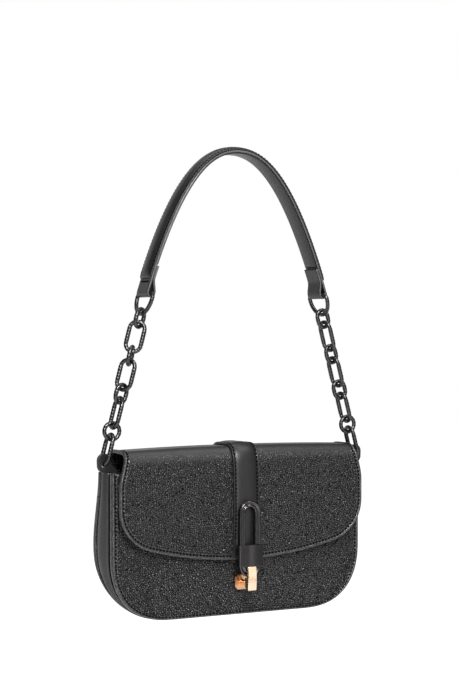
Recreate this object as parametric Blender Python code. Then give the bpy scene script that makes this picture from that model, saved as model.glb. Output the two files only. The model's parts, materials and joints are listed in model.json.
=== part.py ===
"""A small shoulder bag that hangs from its strap: leather body, folding flap with a clasp, two chains and a handle.

X runs along the bag, -Y is its front, +Z is up. The origin is under the top of the handle, where a hook or a
shoulder holds it. Lengths are metres.
"""

import math

import bmesh
import bpy
from mathutils import Matrix, Vector

MM = 0.001

# Gaps between pieces that touch
CLEARANCE = 0.3 * MM
LINK_CLEARANCE = 0.4 * MM

# Handle: an arch of leather, its band folded round a ring at each end
HANDLE_WIDTH = 21.0 * MM
HANDLE_HALF_SPAN = 90.0 * MM
HANDLE_RISE = 124.6 * MM
HANDLE_POWER = 2.2
BAND_THICKNESS = 1.8 * MM
COVER_THICKNESS = 2.2 * MM
COVER_CROWN = 1.3 * MM
COVER_MARGIN = 12.0 * MM
HANDLE_LINING_THICKNESS = 1.0 * MM
HANDLE_LINING_INSET = 1.2 * MM
RETURN_LENGTH = 24.0 * MM
RETURN_TAPER = 13.0 * MM

# Chain wire and links, measured to the wire's centre line
WIRE_DIAMETER = 3.8 * MM
RING_HALF_WIDTH = 14.6 * MM
RING_CORNER = 4.6 * MM
RING_DEPTH = 19.0 * MM
SMALL_HALF_WIDTH = 5.6 * MM
SMALL_LENGTH = 15.7 * MM
LONG_HALF_WIDTH = 6.5 * MM
LONG_LENGTH = 26.6 * MM
ROUND_HALF_WIDTH = 7.1 * MM

# Each link: number, kind, and its turn about the chain on the left and on the right, in degrees from the XZ plane
LINKS = (
    (2, "small", 30, 4),
    (3, "long", -30, -80),
    (4, "small", 52, 10),
    (5, "long", -50, -80),
    (6, "small", 15, -4),
    (7, "long", -88, -86),
    (8, "round", 0, 0),
    (9, "long", 90, 90),
)

# Side tabs, sewn inside the gusset, which hold the last links
EYE_OUTSET = 2.7 * MM
EYE_DROP = 13.5 * MM
EYE_CLEARANCE = 0.9 * MM
TAB_THICKNESS = 3.0 * MM
TAB_HALF_WIDTH = 6.2 * MM
TAB_ABOVE_EYE = 9.8 * MM
TAB_TAIL = 12.0 * MM

# Bag body
BAG_HEIGHT = 149.5 * MM
BAG_HALF_WIDTH = 124.8 * MM
CORNER_SIZE = 58.0 * MM
CORNER_POWER = 2.4
MOUTH_DROP = 21.0 * MM
FRONT_Y = -10.5 * MM
BOTTOM_DEPTH = 13.0 * MM
BELLY_DEPTH = 38.5 * MM
BELLY_HEIGHT = 65.5 * MM
MOUTH_DEPTH = 28.0 * MM
PANEL_THICKNESS = 2.0 * MM
FRONT_CROWN = 5.5 * MM
BACK_CROWN = 5.0 * MM
PIPING_THICKNESS = 2.0 * MM
PIPING_WIDTH = 3.6 * MM
PIPING_INSET = 0.5 * MM
GUSSET_THICKNESS = 1.5 * MM
GUSSET_INSET = 3.2 * MM
LINING_THICKNESS = 0.8 * MM
LINING_INSET = 7.5 * MM
BACK_TOP_INSET = 10.8 * MM
BACK_TOP_DROP = 10.0 * MM

# Flap: one skin over the mouth, hinged at the back panel's top and again at its front fold
FLAP_THICKNESS = 2.4 * MM
FLAP_FRONT_Y = -20.5 * MM
FLAP_EDGE_HEIGHT = 49.5 * MM
FLAP_INSET = 2.8 * MM
FLAP_BOTTOM_RISE = 20.5 * MM
FLAP_CORNER_WIDTH = 32.0 * MM
FLAP_CORNER_RISE = 29.0 * MM
FLAP_CORNER_POWER = 2.3
FLAP_CROWN = 1.2 * MM
FOLD_FRONT_Y = -9.0 * MM
FOLD_BACK_Y = 9.0 * MM
FOLD_HEIGHT = 15.0 * MM
SPLIT_DROP = 13.0 * MM
TOP_INSET = 8.8 * MM
SHOULDER_DROP = 34.0 * MM
TOP_SAG = 2.2 * MM
FLAP_LINING_THICKNESS = 0.8 * MM
FLAP_LINING_INSET = 4.0 * MM

# Centre strap over the top and down the flap
STRAP_HALF_WIDTH = 13.0 * MM
STRAP_THICKNESS = 2.4 * MM
STRAP_CROWN = 1.0 * MM
STRAP_END_RISE = 3.0 * MM

# Clasp: a long loop held to the strap by a plate, and a clip that hangs on the loop
LOOP_HALF_WIDTH = 7.7 * MM
LOOP_TOP_RISE = 49.5 * MM
LOOP_LENGTH = 61.5 * MM
LOOP_BAR_WIDTH = 5.6 * MM
LOOP_BAR_DEPTH = 4.4 * MM
PLATE_HALF_WIDTH = 12.0 * MM
PLATE_HEIGHT = 18.6 * MM
PLATE_TOP_RISE = 13.6 * MM
PLATE_FACE = 1.4 * MM
PLATE_CORNER = 1.2 * MM
RIVET_RADIUS = 1.4 * MM
RIVET_SPACING = 5.0 * MM
RIVET_HEAD_RADIUS = 2.2 * MM
RIVET_HEAD_THICKNESS = 0.9 * MM
RIVET_ENTRY = 1.6 * MM
CLIP_HALF_WIDTH = 4.3 * MM
CLIP_LIP_THICKNESS = 2.0 * MM
CLIP_RISE = 7.0 * MM
CLIP_DROP = 14.0 * MM
CLIP_BOW = 0.9 * MM
CLIP_STAND_OFF = 0.8 * MM
CLIP_BACK = 0.8 * MM
CLIP_SLANT = 2.4 * MM
BASE_HALF_WIDTH = 8.5 * MM
BASE_HEIGHT = 13.0 * MM
BASE_THICKNESS = 2.2 * MM
BASE_BELOW = 20.0 * MM
POST_RADIUS = 2.6 * MM
PIN_RADIUS = 1.2 * MM
PIN_SPACING = 10.0 * MM
BACKPLATE_THICKNESS = 1.0 * MM

# Faces round a wire and along a path
WIRE_SIDES = 8
HALF_TURN_STEPS = 7
PANEL_COLUMNS = 16
DISC_SIDES = 20
OVERRUN = 5.0 * MM

LEATHER = ("smooth_leather", (0.045, 0.045, 0.048), 0.42, 0.0)
GRAINED = ("grained_leather", (0.04, 0.04, 0.043), 0.5, 0.0)
LINING = ("woven_lining", (0.05, 0.05, 0.055), 0.85, 0.0)
BLACK_METAL = ("black_metal", (0.05, 0.05, 0.055), 0.3, 0.9)
ROSE_GOLD = ("rose_gold", (0.9, 0.62, 0.42), 0.22, 1.0)
STEEL = ("plain_steel", (0.55, 0.55, 0.56), 0.35, 1.0)

# Sizes and places that follow from the sizes above
eye_x = BAG_HALF_WIDTH + EYE_OUTSET
flap_half_width = BAG_HALF_WIDTH - FLAP_INSET
top_half_width = BAG_HALF_WIDTH - TOP_INSET
back_top_half_width = BAG_HALF_WIDTH - BACK_TOP_INSET
flap_drop = BAG_HEIGHT - FLAP_EDGE_HEIGHT
wire_radius = WIRE_DIAMETER / 2
half_band = BAND_THICKNESS / 2
fold_radius = wire_radius + CLEARANCE + half_band
apex_z = HANDLE_LINING_THICKNESS + CLEARANCE + half_band


def clear_scene():
    for old in list(bpy.data.objects):
        bpy.data.objects.remove(old)


def material(spec):
    name, colour, roughness, metallic = spec
    made = bpy.data.materials.get(name)
    if made:
        return made
    made = bpy.data.materials.new(name)
    made.use_nodes = True
    shader = made.node_tree.nodes["Principled BSDF"]
    shader.inputs["Base Color"].default_value = (*colour, 1.0)
    shader.inputs["Roughness"].default_value = roughness
    shader.inputs["Metallic"].default_value = metallic
    return made


def add_object(name, mesh_data, spec):
    """Turns a bmesh into a named object with outward faces and smooth shading."""
    bmesh.ops.recalc_face_normals(mesh_data, faces=mesh_data.faces)
    mesh = bpy.data.meshes.new(name)
    mesh_data.to_mesh(mesh)
    mesh_data.free()
    mesh.materials.append(material(spec))
    mesh.shade_smooth()
    mesh.set_sharp_from_angle(angle=math.radians(40))
    made = bpy.data.objects.new(name, mesh)
    bpy.context.collection.objects.link(made)
    return made


def frame_empty(name, place):
    made = bpy.data.objects.new(name, None)
    made.location = place
    bpy.context.collection.objects.link(made)
    return made


def keep_place(child, parent):
    """Parents a piece and leaves it where it is."""
    bpy.context.view_layer.update()
    child.parent = parent
    child.matrix_parent_inverse = parent.matrix_world.inverted()


# Handle


def arch_point(share):
    """Centre line of the band: share runs from -1 at the left end, by 0 at the top, to 1 at the right end."""
    across = math.copysign(abs(share) ** 0.72, share)
    drop = HANDLE_RISE * abs(across) ** HANDLE_POWER
    return Vector((HANDLE_HALF_SPAN * across, 0.0, apex_z - drop))


def arch_normal(share):
    """Outward normal of the arch, in its plane."""
    step = 0.002
    low, high = max(-1.0, share - step), min(1.0, share + step)
    along = (arch_point(high) - arch_point(low)).normalized()
    return Vector((-along.z, 0.0, along.x))


def arch_share_above_end(length):
    """Share of the right half at a length measured up the arch from its end."""
    steps = 400
    walked, last = 0.0, arch_point(1.0)
    for i in range(1, steps):
        share = 1.0 - i / steps
        place = arch_point(share)
        walked += (place - last).length
        if walked >= length:
            return share
        last = place
    return 0.0


end_normal = arch_normal(1.0)
end_down = Vector((end_normal.z, 0.0, -end_normal.x))
bar_right = arch_point(1.0) - end_normal * fold_radius


def band_profile():
    """Centre line of the whole band on the right half, from the top to the end of the turned-back ply."""
    points = [arch_point(i / 12) for i in range(13)]
    for i in range(1, 8):
        turn = math.pi * i / 8
        points.append(bar_right + (end_normal * math.cos(turn) + end_down * math.sin(turn)) * fold_radius)
    closed_offset = BAND_THICKNESS + CLEARANCE
    steps = 6
    for i in range(steps + 1):
        length = RETURN_LENGTH * i / steps
        share = arch_share_above_end(length) if i else 1.0
        taper = max(0.0, 1.0 - length / RETURN_TAPER)
        ease = taper * taper * (3 - 2 * taper)
        offset = closed_offset + (2 * fold_radius - closed_offset) * ease
        points.append(arch_point(share) - arch_normal(share) * offset)
    return points


def thick_line(points, half_thickness):
    """Closed outline of a line with a thickness, in the XZ plane."""
    left, right = [], []
    for i, point in enumerate(points):
        before = points[max(0, i - 1)]
        after = points[min(len(points) - 1, i + 1)]
        along = (after - before).normalized()
        side = Vector((-along.z, 0.0, along.x)) * half_thickness
        left.append(point + side)
        right.append(point - side)
    return left + right[::-1]


def slab_between(outline, low_y, high_y):
    """Solid strip whose outline in XZ is made of two matching edges, so that each step is one quad."""
    mesh = bmesh.new()
    half = len(outline) // 2
    rings = []
    for i in range(half):
        a, b = outline[i], outline[-1 - i]
        corners = [(a.x, low_y, a.z), (a.x, high_y, a.z), (b.x, high_y, b.z), (b.x, low_y, b.z)]
        rings.append([mesh.verts.new(corner) for corner in corners])
    join_rings(mesh, rings, cap=True)
    return mesh


def join_rings(mesh, rings, cap=False, loop=False):
    """Faces between neighbouring rings of the same number of points."""
    pairs = list(zip(rings, rings[1:]))
    if loop:
        pairs.append((rings[-1], rings[0]))
    for first, second in pairs:
        count = len(first)
        for i in range(count):
            mesh.faces.new((first[i], first[(i + 1) % count], second[(i + 1) % count], second[i]))
    if cap:
        mesh.faces.new(rings[0])
        mesh.faces.new(rings[-1])


def mirrored_line(half_points):
    """The right half of a line, led by its mirror image from the left end."""
    left = [Vector((-p.x, p.y, p.z)) for p in half_points[:0:-1]]
    return left + half_points


def make_handle():
    half_width = HANDLE_WIDTH / 2
    outline = thick_line(mirrored_line(band_profile()), half_band)
    add_object("handle_band", slab_between(outline, -half_width, half_width), LEATHER)

    # Padded cover on the outside, crowned across its width
    end_share = arch_share_above_end(COVER_MARGIN)
    mesh = bmesh.new()
    rings = []
    steps = 26
    across_shares = (-1.0, -0.8, -0.4, 0.0, 0.4, 0.8, 1.0)
    for i in range(steps + 1):
        share = end_share * (2 * i / steps - 1)
        place, normal = arch_point(share), arch_normal(share)
        foot = place + normal * (half_band + CLEARANCE)
        ring = [mesh.verts.new(foot + Vector((0, half_width, 0))), mesh.verts.new(foot - Vector((0, half_width, 0)))]
        for across in across_shares:
            lift = COVER_THICKNESS * 0.55 + (COVER_THICKNESS * 0.45 + COVER_CROWN) * (1 - across**4)
            ring.append(mesh.verts.new(foot + normal * lift + Vector((0, half_width * across, 0))))
        rings.append(ring)
    join_rings(mesh, rings, cap=True)
    add_object("handle_cover", mesh, LEATHER)

    # Lining strip between the turned-back plies
    end_share = arch_share_above_end(RETURN_LENGTH + 4 * CLEARANCE)
    offset = half_band + CLEARANCE + HANDLE_LINING_THICKNESS / 2
    points = []
    for i in range(21):
        share = end_share * (i / 10 - 1)
        points.append(arch_point(share) - arch_normal(share) * offset)
    outline = thick_line(points, HANDLE_LINING_THICKNESS / 2)
    lining_half = half_width - HANDLE_LINING_INSET
    add_object("handle_lining", slab_between(outline, -lining_half, lining_half), LINING)


# Chains


def stadium(half_width, length):
    """Centre line of a link: two round ends and straight sides, its top at 0 and its foot at -length."""
    points = []
    for i in range(HALF_TURN_STEPS + 1):
        turn = math.pi * i / HALF_TURN_STEPS
        points.append((half_width * math.cos(turn), -half_width + half_width * math.sin(turn)))
    for i in range(HALF_TURN_STEPS + 1):
        turn = math.pi * i / HALF_TURN_STEPS
        points.append((-half_width * math.cos(turn), -(length - half_width) - half_width * math.sin(turn)))
    return points


def circle(radius):
    steps = 2 * HALF_TURN_STEPS
    points = []
    for i in range(steps):
        turn = math.pi * (2 * i + 1) / steps
        points.append((radius * math.cos(turn), -radius + radius * math.sin(turn)))
    return points


def ring_outline():
    """The ring in the handle's fold: a straight bar, round corners and an elliptical foot."""
    points = []
    for i in range(5):
        turn = math.pi / 2 * i / 4
        points.append((RING_HALF_WIDTH - RING_CORNER + RING_CORNER * math.sin(turn), RING_CORNER * math.cos(turn) - RING_CORNER))
    for i in range(1, 12):
        turn = math.pi * i / 12
        points.append((RING_HALF_WIDTH * math.cos(turn), -RING_CORNER - (RING_DEPTH - RING_CORNER) * math.sin(turn)))
    for i in range(5):
        turn = math.pi / 2 * (1 - i / 4)
        points.append((-RING_HALF_WIDTH + RING_CORNER - RING_CORNER * math.sin(turn), RING_CORNER * math.cos(turn) - RING_CORNER))
    return points


def wire_loop(outline, top, down, across, wire_radii=None):
    """Bent wire along a closed outline: across and down are the directions of the outline's two numbers."""
    wide, deep = wire_radii or (wire_radius, wire_radius)
    through = across.cross(down).normalized()
    places = [top + across * x - down * z for x, z in outline]
    mesh = bmesh.new()
    rings = []
    count = len(places)
    for i, place in enumerate(places):
        along = (places[(i + 1) % count] - places[i - 1]).normalized()
        side = along.cross(through).normalized()
        before = (place - places[i - 1]).normalized()
        after = (places[(i + 1) % count] - place).normalized()
        mitre = 1.0 / max(0.8, math.cos(before.angle(after) / 2))
        ring = []
        for k in range(WIRE_SIDES):
            turn = 2 * math.pi * (k + 0.5) / WIRE_SIDES
            ring.append(mesh.verts.new(place + side * wide * mitre * math.cos(turn) + through * deep * math.sin(turn)))
        rings.append(ring)
    join_rings(mesh, rings, loop=True)
    return mesh


def kind_outline(kind):
    if kind == "small":
        return stadium(SMALL_HALF_WIDTH, SMALL_LENGTH), SMALL_LENGTH, SMALL_HALF_WIDTH
    if kind == "long":
        return stadium(LONG_HALF_WIDTH, LONG_LENGTH), LONG_LENGTH, LONG_HALF_WIDTH
    return circle(ROUND_HALF_WIDTH), 2 * ROUND_HALF_WIDTH, ROUND_HALF_WIDTH


def seat_distance(turn_between, first_radius, second_radius):
    """Distance between the wire centres of two hooked links, which grows when they cross at a slant."""
    slant = abs(turn_between) % 180
    slant = math.radians(min(slant, 180 - slant))
    apart = WIRE_DIAMETER + LINK_CLEARANCE
    spread = 4 * math.sin(slant / 2) ** 2
    curl = 1 / (2 * first_radius) + 1 / (2 * second_radius)
    if spread / (2 * curl) >= apart:
        return apart
    return (apart**2 + (spread / (2 * curl)) ** 2) * curl / spread


def chain_stations():
    """For each link: number, kind, turns, distance of its top wire from the bar, and of the pivot above it."""
    stations = []
    foot = RING_DEPTH
    last_radius = RING_HALF_WIDTH**2 / (RING_DEPTH - RING_CORNER)
    last_turns = (90, 90)
    for number, kind, left_turn, right_turn in LINKS:
        length, radius = kind_outline(kind)[1:]
        seats = [seat_distance(a - b, last_radius, radius) for a, b in zip(last_turns, (left_turn, right_turn))]
        seat = max(seats)
        top = foot - seat
        stations.append((number, kind, (left_turn, right_turn), top, foot - seat / 2))
        foot = top + length
        last_radius, last_turns = radius, (left_turn, right_turn)
    return stations, foot


stations, chain_length = chain_stations()
chain_reach_x = eye_x - bar_right.x
chain_fall = math.sqrt(chain_length**2 - chain_reach_x**2)
eye_z = bar_right.z - chain_fall
bag_top = eye_z + EYE_DROP
bag_bottom = bag_top - BAG_HEIGHT
mouth_z = bag_top - MOUTH_DROP


def make_chains():
    for side, sign in (("left", -1), ("right", 1)):
        bar = Vector((sign * bar_right.x, 0.0, bar_right.z))
        eye = Vector((sign * eye_x, 0.0, eye_z))
        down = (eye - bar).normalized()
        level = Vector((-down.z * sign, 0.0, down.x * sign))
        depth = Vector((0.0, 1.0, 0.0))
        add_object(f"ring_{side}", wire_loop(ring_outline(), bar, down, depth), BLACK_METAL)
        for number, kind, turns, top, pivot in stations:
            turn = math.radians(turns[0 if side == "left" else 1])
            across = level * sign * math.cos(turn) + depth * math.sin(turn)
            link = wire_loop(kind_outline(kind)[0], bar + down * top, down, across)
            made = add_object(f"link_{number}_{side}", link, BLACK_METAL)
            holder = frame_empty(f"pivot_{number}_{side}", bar + down * pivot)
            keep_place(made, holder)


# Bag body


def half_width_at(height, inset=0.0):
    """Half width of the body's outline at a height above its foot, drawn in by an inset."""
    width, size = BAG_HALF_WIDTH - inset, CORNER_SIZE - inset
    rise = height - inset
    if rise >= size:
        return width
    return width - size + size * max(0.0, 1 - ((size - rise) / size) ** CORNER_POWER) ** (1 / CORNER_POWER)


def corner_heights(top_height, inset=0.0, straight_rows=8):
    """Heights of the rows of a panel: close together round the corner, then even up to the top."""
    size = CORNER_SIZE - inset
    rows = []
    steps = 7
    for i in range(steps + 1):
        turn = math.pi / 2 * i / steps
        rows.append(inset + size * (1 - math.cos(turn) ** (2 / CORNER_POWER)))
    top_of_corner = rows[-1]
    for i in range(1, straight_rows + 1):
        rows.append(top_of_corner + (top_height - top_of_corner) * i / straight_rows)
    return rows


def smooth_step(low, high, value):
    share = min(1.0, max(0.0, (value - low) / (high - low)))
    return share * share * (3 - 2 * share)


def body_depth(height):
    """Distance from the front face to the back face at a height: thin foot, full belly, narrower mouth."""
    if height <= BELLY_HEIGHT:
        share = height / BELLY_HEIGHT
        rise = math.sin(math.pi / 2 * share) ** 1.25
        return BOTTOM_DEPTH + (BELLY_DEPTH - BOTTOM_DEPTH) * rise
    return BELLY_DEPTH + (MOUTH_DEPTH - BELLY_DEPTH) * smooth_step(BELLY_HEIGHT, BAG_HEIGHT - MOUTH_DROP, height)


def crown(across, height, top_height, amount):
    """Bulge of a panel between its edges."""
    upright = math.sin(math.pi * min(1.0, max(0.0, height / top_height)) ** 0.9)
    return amount * max(0.0, 1 - across * across) * max(0.0, upright)


def front_face(across, height, top_height):
    return FRONT_Y - crown(across, height, top_height, FRONT_CROWN)


def back_face(across, height, top_height):
    return FRONT_Y + body_depth(height) + crown(across, height, top_height, BACK_CROWN)


def panel(heights, width_at, near, far):
    """Solid sheet: rows at heights above the foot; near and far give its two faces' Y."""
    mesh = bmesh.new()
    sheets = []
    for face in (near, far):
        rows = []
        for height in heights:
            width = width_at(height)
            row = []
            for i in range(PANEL_COLUMNS + 1):
                across = math.sin(math.pi / 2 * (2 * i / PANEL_COLUMNS - 1))
                row.append(mesh.verts.new((width * across, face(across, height), bag_bottom + height)))
            rows.append(row)
        sheets.append(rows)
    close_sheets(mesh, sheets)
    return mesh


def close_sheets(mesh, sheets):
    """Faces of two matching grids, and the wall between their edges."""
    for rows in sheets:
        for low, high in zip(rows, rows[1:]):
            for i in range(len(low) - 1):
                mesh.faces.new((low[i], low[i + 1], high[i + 1], high[i]))
    edges = []
    for rows in sheets:
        edge = list(rows[0]) + [row[-1] for row in rows[1:]] + list(rows[-1][-2::-1])
        edge += [row[0] for row in rows[-2:0:-1]]
        edges.append(edge)
    near, far = edges
    count = len(near)
    for i in range(count):
        mesh.faces.new((near[i], near[(i + 1) % count], far[(i + 1) % count], far[i]))


def u_path(inset, top_height):
    """Right half of the body's outline from the middle of its foot to the top, as (x, height) points."""
    points = [(0.0, inset)]
    for height in corner_heights(top_height, inset):
        points.append((half_width_at(height, inset), height))
    return points


def u_strip(inset, thickness, top_height, low_y, high_y):
    """Solid strip that follows the outline from one top corner round the foot to the other."""
    half = u_path(inset, top_height)
    path = [Vector((-x, 0.0, h)) for x, h in half[:0:-1]] + [Vector((x, 0.0, h)) for x, h in half]
    mesh = bmesh.new()
    rings = []
    for i, place in enumerate(path):
        before, after = path[max(0, i - 1)], path[min(len(path) - 1, i + 1)]
        along = (after - before).normalized()
        inward = Vector((-along.z, 0.0, along.x))
        inner = place + inward * thickness
        corners = ((place, low_y), (place, high_y), (inner, high_y), (inner, low_y))
        rings.append([mesh.verts.new((point.x, y_at(point.z), bag_bottom + point.z)) for point, y_at in corners])
    join_rings(mesh, rings, cap=True)
    return mesh


def make_body():
    mouth = BAG_HEIGHT - MOUTH_DROP
    full = BAG_HEIGHT - BACK_TOP_DROP

    heights = corner_heights(mouth)
    sheet = panel(
        heights,
        half_width_at,
        lambda a, h: front_face(a, h, mouth),
        lambda a, h: front_face(a, h, mouth) + PANEL_THICKNESS,
    )
    add_object("front_panel", sheet, GRAINED)

    def back_width(height):
        narrow = smooth_step(mouth - PANEL_THICKNESS, full, height)
        return half_width_at(height) + (back_top_half_width - BAG_HALF_WIDTH) * narrow

    sheet = panel(
        corner_heights(mouth) + [mouth + (full - mouth) * i / 3 for i in range(1, 4)],
        back_width,
        lambda a, h: back_face(a, h, full) - PANEL_THICKNESS,
        lambda a, h: back_face(a, h, full),
    )
    add_object("back_panel", sheet, GRAINED)

    # The piping and the gusset lie against the panels' flat edges
    piping_low = PANEL_THICKNESS + CLEARANCE
    piping_high = piping_low + PIPING_THICKNESS
    gusset_low = piping_high + CLEARANCE
    strip = u_strip(PIPING_INSET, PIPING_WIDTH, mouth, lambda h: FRONT_Y + piping_low, lambda h: FRONT_Y + piping_high)
    add_object("front_piping", strip, LEATHER)
    strip = u_strip(
        PIPING_INSET,
        PIPING_WIDTH,
        mouth,
        lambda h: FRONT_Y + body_depth(h) - piping_high,
        lambda h: FRONT_Y + body_depth(h) - piping_low,
    )
    add_object("back_piping", strip, LEATHER)
    strip = u_strip(
        GUSSET_INSET,
        GUSSET_THICKNESS,
        mouth,
        lambda h: FRONT_Y + gusset_low,
        lambda h: FRONT_Y + body_depth(h) - gusset_low,
    )
    add_object("gusset", strip, LEATHER)

    # Lining sheets inside the two panels
    def lining_width(height):
        return half_width_at(height, LINING_INSET)

    heights = corner_heights(mouth - 2 * CLEARANCE, LINING_INSET)
    front_lining_far = PANEL_THICKNESS + CLEARANCE + LINING_THICKNESS
    sheet = panel(
        heights,
        lining_width,
        lambda a, h: front_face(a, h, mouth) + PANEL_THICKNESS + CLEARANCE,
        lambda a, h: front_face(a, h, mouth) + front_lining_far,
    )
    add_object("front_lining", sheet, LINING)
    sheet = panel(
        heights,
        lining_width,
        lambda a, h: back_face(a, h, full) - front_lining_far,
        lambda a, h: back_face(a, h, full) - PANEL_THICKNESS - CLEARANCE,
    )
    add_object("back_lining", sheet, LINING)


def plate_solid(outline, low_y, high_y):
    """Flat piece with an outline in the XZ plane, between two values of Y."""
    mesh = bmesh.new()
    near = [mesh.verts.new((x, low_y, z)) for x, z in outline]
    far = [mesh.verts.new((x, high_y, z)) for x, z in outline]
    join_rings(mesh, [near, far], cap=True)
    return mesh


def cylinder_y(mesh, centre_x, centre_z, radius, low_y, high_y):
    """Closed cylinder along Y, added to a mesh."""
    rings = []
    for y in (low_y, high_y):
        ring = []
        for i in range(DISC_SIDES):
            turn = 2 * math.pi * i / DISC_SIDES
            ring.append(mesh.verts.new((centre_x + radius * math.cos(turn), y, centre_z + radius * math.sin(turn))))
        rings.append(ring)
    join_rings(mesh, rings, cap=True)


def stepped_y(mesh, centre_x, centre_z, steps):
    """Closed turned piece along Y: steps are pairs of Y and radius."""
    rings = []
    for y, radius in steps:
        ring = []
        for i in range(DISC_SIDES):
            turn = 2 * math.pi * i / DISC_SIDES
            ring.append(mesh.verts.new((centre_x + radius * math.cos(turn), y, centre_z + radius * math.sin(turn))))
        rings.append(ring)
    join_rings(mesh, rings, cap=True)


def cutter(name, mesh):
    made = add_object(name, mesh, STEEL)
    made.hide_render = True
    made.display_type = "WIRE"
    return made


def cut_with(target, tool):
    hole = target.modifiers.new("hole", "BOOLEAN")
    hole.operation = "DIFFERENCE"
    hole.solver = "EXACT"
    hole.object = tool


def make_tabs():
    """Leather tabs sewn inside the gusset's ends, each with an eye for the last link."""
    gusset_inner = half_width_at(BAG_HEIGHT - MOUTH_DROP, GUSSET_INSET) - GUSSET_THICKNESS
    shank_outer = gusset_inner - CLEARANCE
    shank_inner = shank_outer - TAB_HALF_WIDTH
    round_z = eye_z + TAB_ABOVE_EYE - TAB_HALF_WIDTH
    lip_z = mouth_z + 2 * CLEARANCE
    foot_z = mouth_z - TAB_TAIL
    for side, sign in (("left", -1), ("right", 1)):
        outline = []
        for i in range(9):
            turn = math.pi * i / 8
            outline.append((eye_x + TAB_HALF_WIDTH * math.cos(turn), round_z + TAB_HALF_WIDTH * math.sin(turn)))
        inner_x = eye_x - TAB_HALF_WIDTH
        outline += [
            (inner_x, eye_z - CLEARANCE),
            ((inner_x + shank_inner) / 2, eye_z - TAB_HALF_WIDTH / 4),
            (shank_inner, (eye_z + lip_z) / 2),
            (shank_inner, foot_z),
            (shank_outer, foot_z),
            (shank_outer, lip_z),
            (eye_x, lip_z),
            (eye_x + TAB_HALF_WIDTH * 0.7, lip_z + TAB_HALF_WIDTH * 0.2),
            (eye_x + TAB_HALF_WIDTH, lip_z + TAB_HALF_WIDTH * 0.8),
        ]
        outline = [(sign * x, z) for x, z in outline]
        tab = add_object(f"tab_{side}", plate_solid(outline, -TAB_THICKNESS / 2, TAB_THICKNESS / 2), LEATHER)
        mesh = bmesh.new()
        cylinder_y(mesh, sign * eye_x, eye_z, wire_radius + EYE_CLEARANCE, -OVERRUN, OVERRUN)
        cut_with(tab, cutter(f"eye_cutter_{side}", mesh))


# Flap

back_top_z = bag_top - BACK_TOP_DROP
back_top_y = FRONT_Y + MOUTH_DEPTH
split_z = bag_top - SPLIT_DROP


def flap_width(drop):
    """Half width of the flap at a drop below the bag's top."""
    return top_half_width + (flap_half_width - top_half_width) * smooth_step(0, SHOULDER_DROP, drop)


def flap_edge_z(x):
    """Height of the flap's front edge: a shallow curve that turns up into round corners."""
    x = min(abs(x), flap_half_width)
    bottom = bag_top - flap_drop + FLAP_BOTTOM_RISE * (x / flap_half_width) ** 2
    corner = max(0.0, (x - flap_half_width + FLAP_CORNER_WIDTH) / FLAP_CORNER_WIDTH)
    return bottom + FLAP_CORNER_RISE * (1 - (1 - corner**FLAP_CORNER_POWER) ** (1 / FLAP_CORNER_POWER))


def over_profile():
    """Outer line of the flap over the mouth, from its back edge to the front split, as (y, z)."""
    start_z = back_top_z + CLEARANCE
    points = []
    steps = 5
    for i in range(steps + 1):
        turn = math.pi / 2 * i / steps
        reach, rise = back_top_y - FOLD_BACK_Y, bag_top - start_z
        points.append((FOLD_BACK_Y + reach * math.cos(turn), start_z + rise * math.sin(turn)))
    for i in range(1, 3):
        points.append((FOLD_BACK_Y + (FOLD_FRONT_Y - FOLD_BACK_Y) * i / 3, bag_top))
    last_turn = math.acos((split_z + CLEARANCE / 2 - bag_top + FOLD_HEIGHT) / FOLD_HEIGHT)
    steps = 6
    for i in range(steps + 1):
        turn = last_turn * i / steps
        reach = FOLD_FRONT_Y - FLAP_FRONT_Y
        points.append((FOLD_FRONT_Y - reach * math.sin(turn), bag_top - FOLD_HEIGHT + FOLD_HEIGHT * math.cos(turn)))
    return points


def over_normals(points):
    normals = []
    for i in range(len(points)):
        (y0, z0), (y1, z1) = points[max(0, i - 1)], points[min(len(points) - 1, i + 1)]
        length = math.hypot(y1 - y0, z1 - z0)
        normals.append(((z1 - z0) / length, (y0 - y1) / length))
    normals[0], normals[-1] = (1.0, 0.0), (-1.0, 0.0)
    return normals


def over_sheet(xs_at, low, high, first=0):
    """Sheet over the mouth between two offsets from the outer line; xs_at gives a row's X values from its drop."""
    points = over_profile()
    normals = over_normals(points)
    mesh = bmesh.new()
    sheets = []
    for offset in (low, high):
        rows = []
        for (y, z), (ny, nz) in list(zip(points, normals))[first:]:
            rise = max(0.0, (z - back_top_z - CLEARANCE) / (bag_top - back_top_z))
            row = []
            xs = xs_at(bag_top - z)
            for x in xs:
                sag = TOP_SAG * rise * (x / top_half_width) ** 2
                lift = offset(x / xs[-1]) if callable(offset) else offset
                row.append(mesh.verts.new((x, y + ny * lift, z - sag + nz * lift)))
            rows.append(row)
        sheets.append(rows)
    close_sheets(mesh, sheets)
    return mesh


def spread(half_width, columns):
    """X values across a piece, close together near its edges."""
    return [half_width * math.sin(math.pi / 2 * (2 * i / columns - 1)) for i in range(columns + 1)]


def front_sheet(inset, top_z, near, far, half_width=None, end_z=None, columns=PANEL_COLUMNS, rows_count=10):
    """Sheet down the front of the flap; near and far give its faces' Y from (x, z)."""
    mesh = bmesh.new()
    sheets = []
    for face in (near, far):
        rows = []
        for j in range(rows_count + 1):
            share = j / rows_count
            row = []
            for across in spread(1.0, columns):
                if half_width is None:
                    foot = flap_edge_z(across * flap_half_width) + inset
                    z = top_z + (foot - top_z) * share
                    x = across * (flap_width(bag_top - z) - inset)
                else:
                    z = top_z + (end_z - top_z) * share
                    x = across * half_width
                row.append(mesh.verts.new((x, face(x, z), z)))
            rows.append(row)
        sheets.append(rows)
    close_sheets(mesh, sheets)
    return mesh


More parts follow.
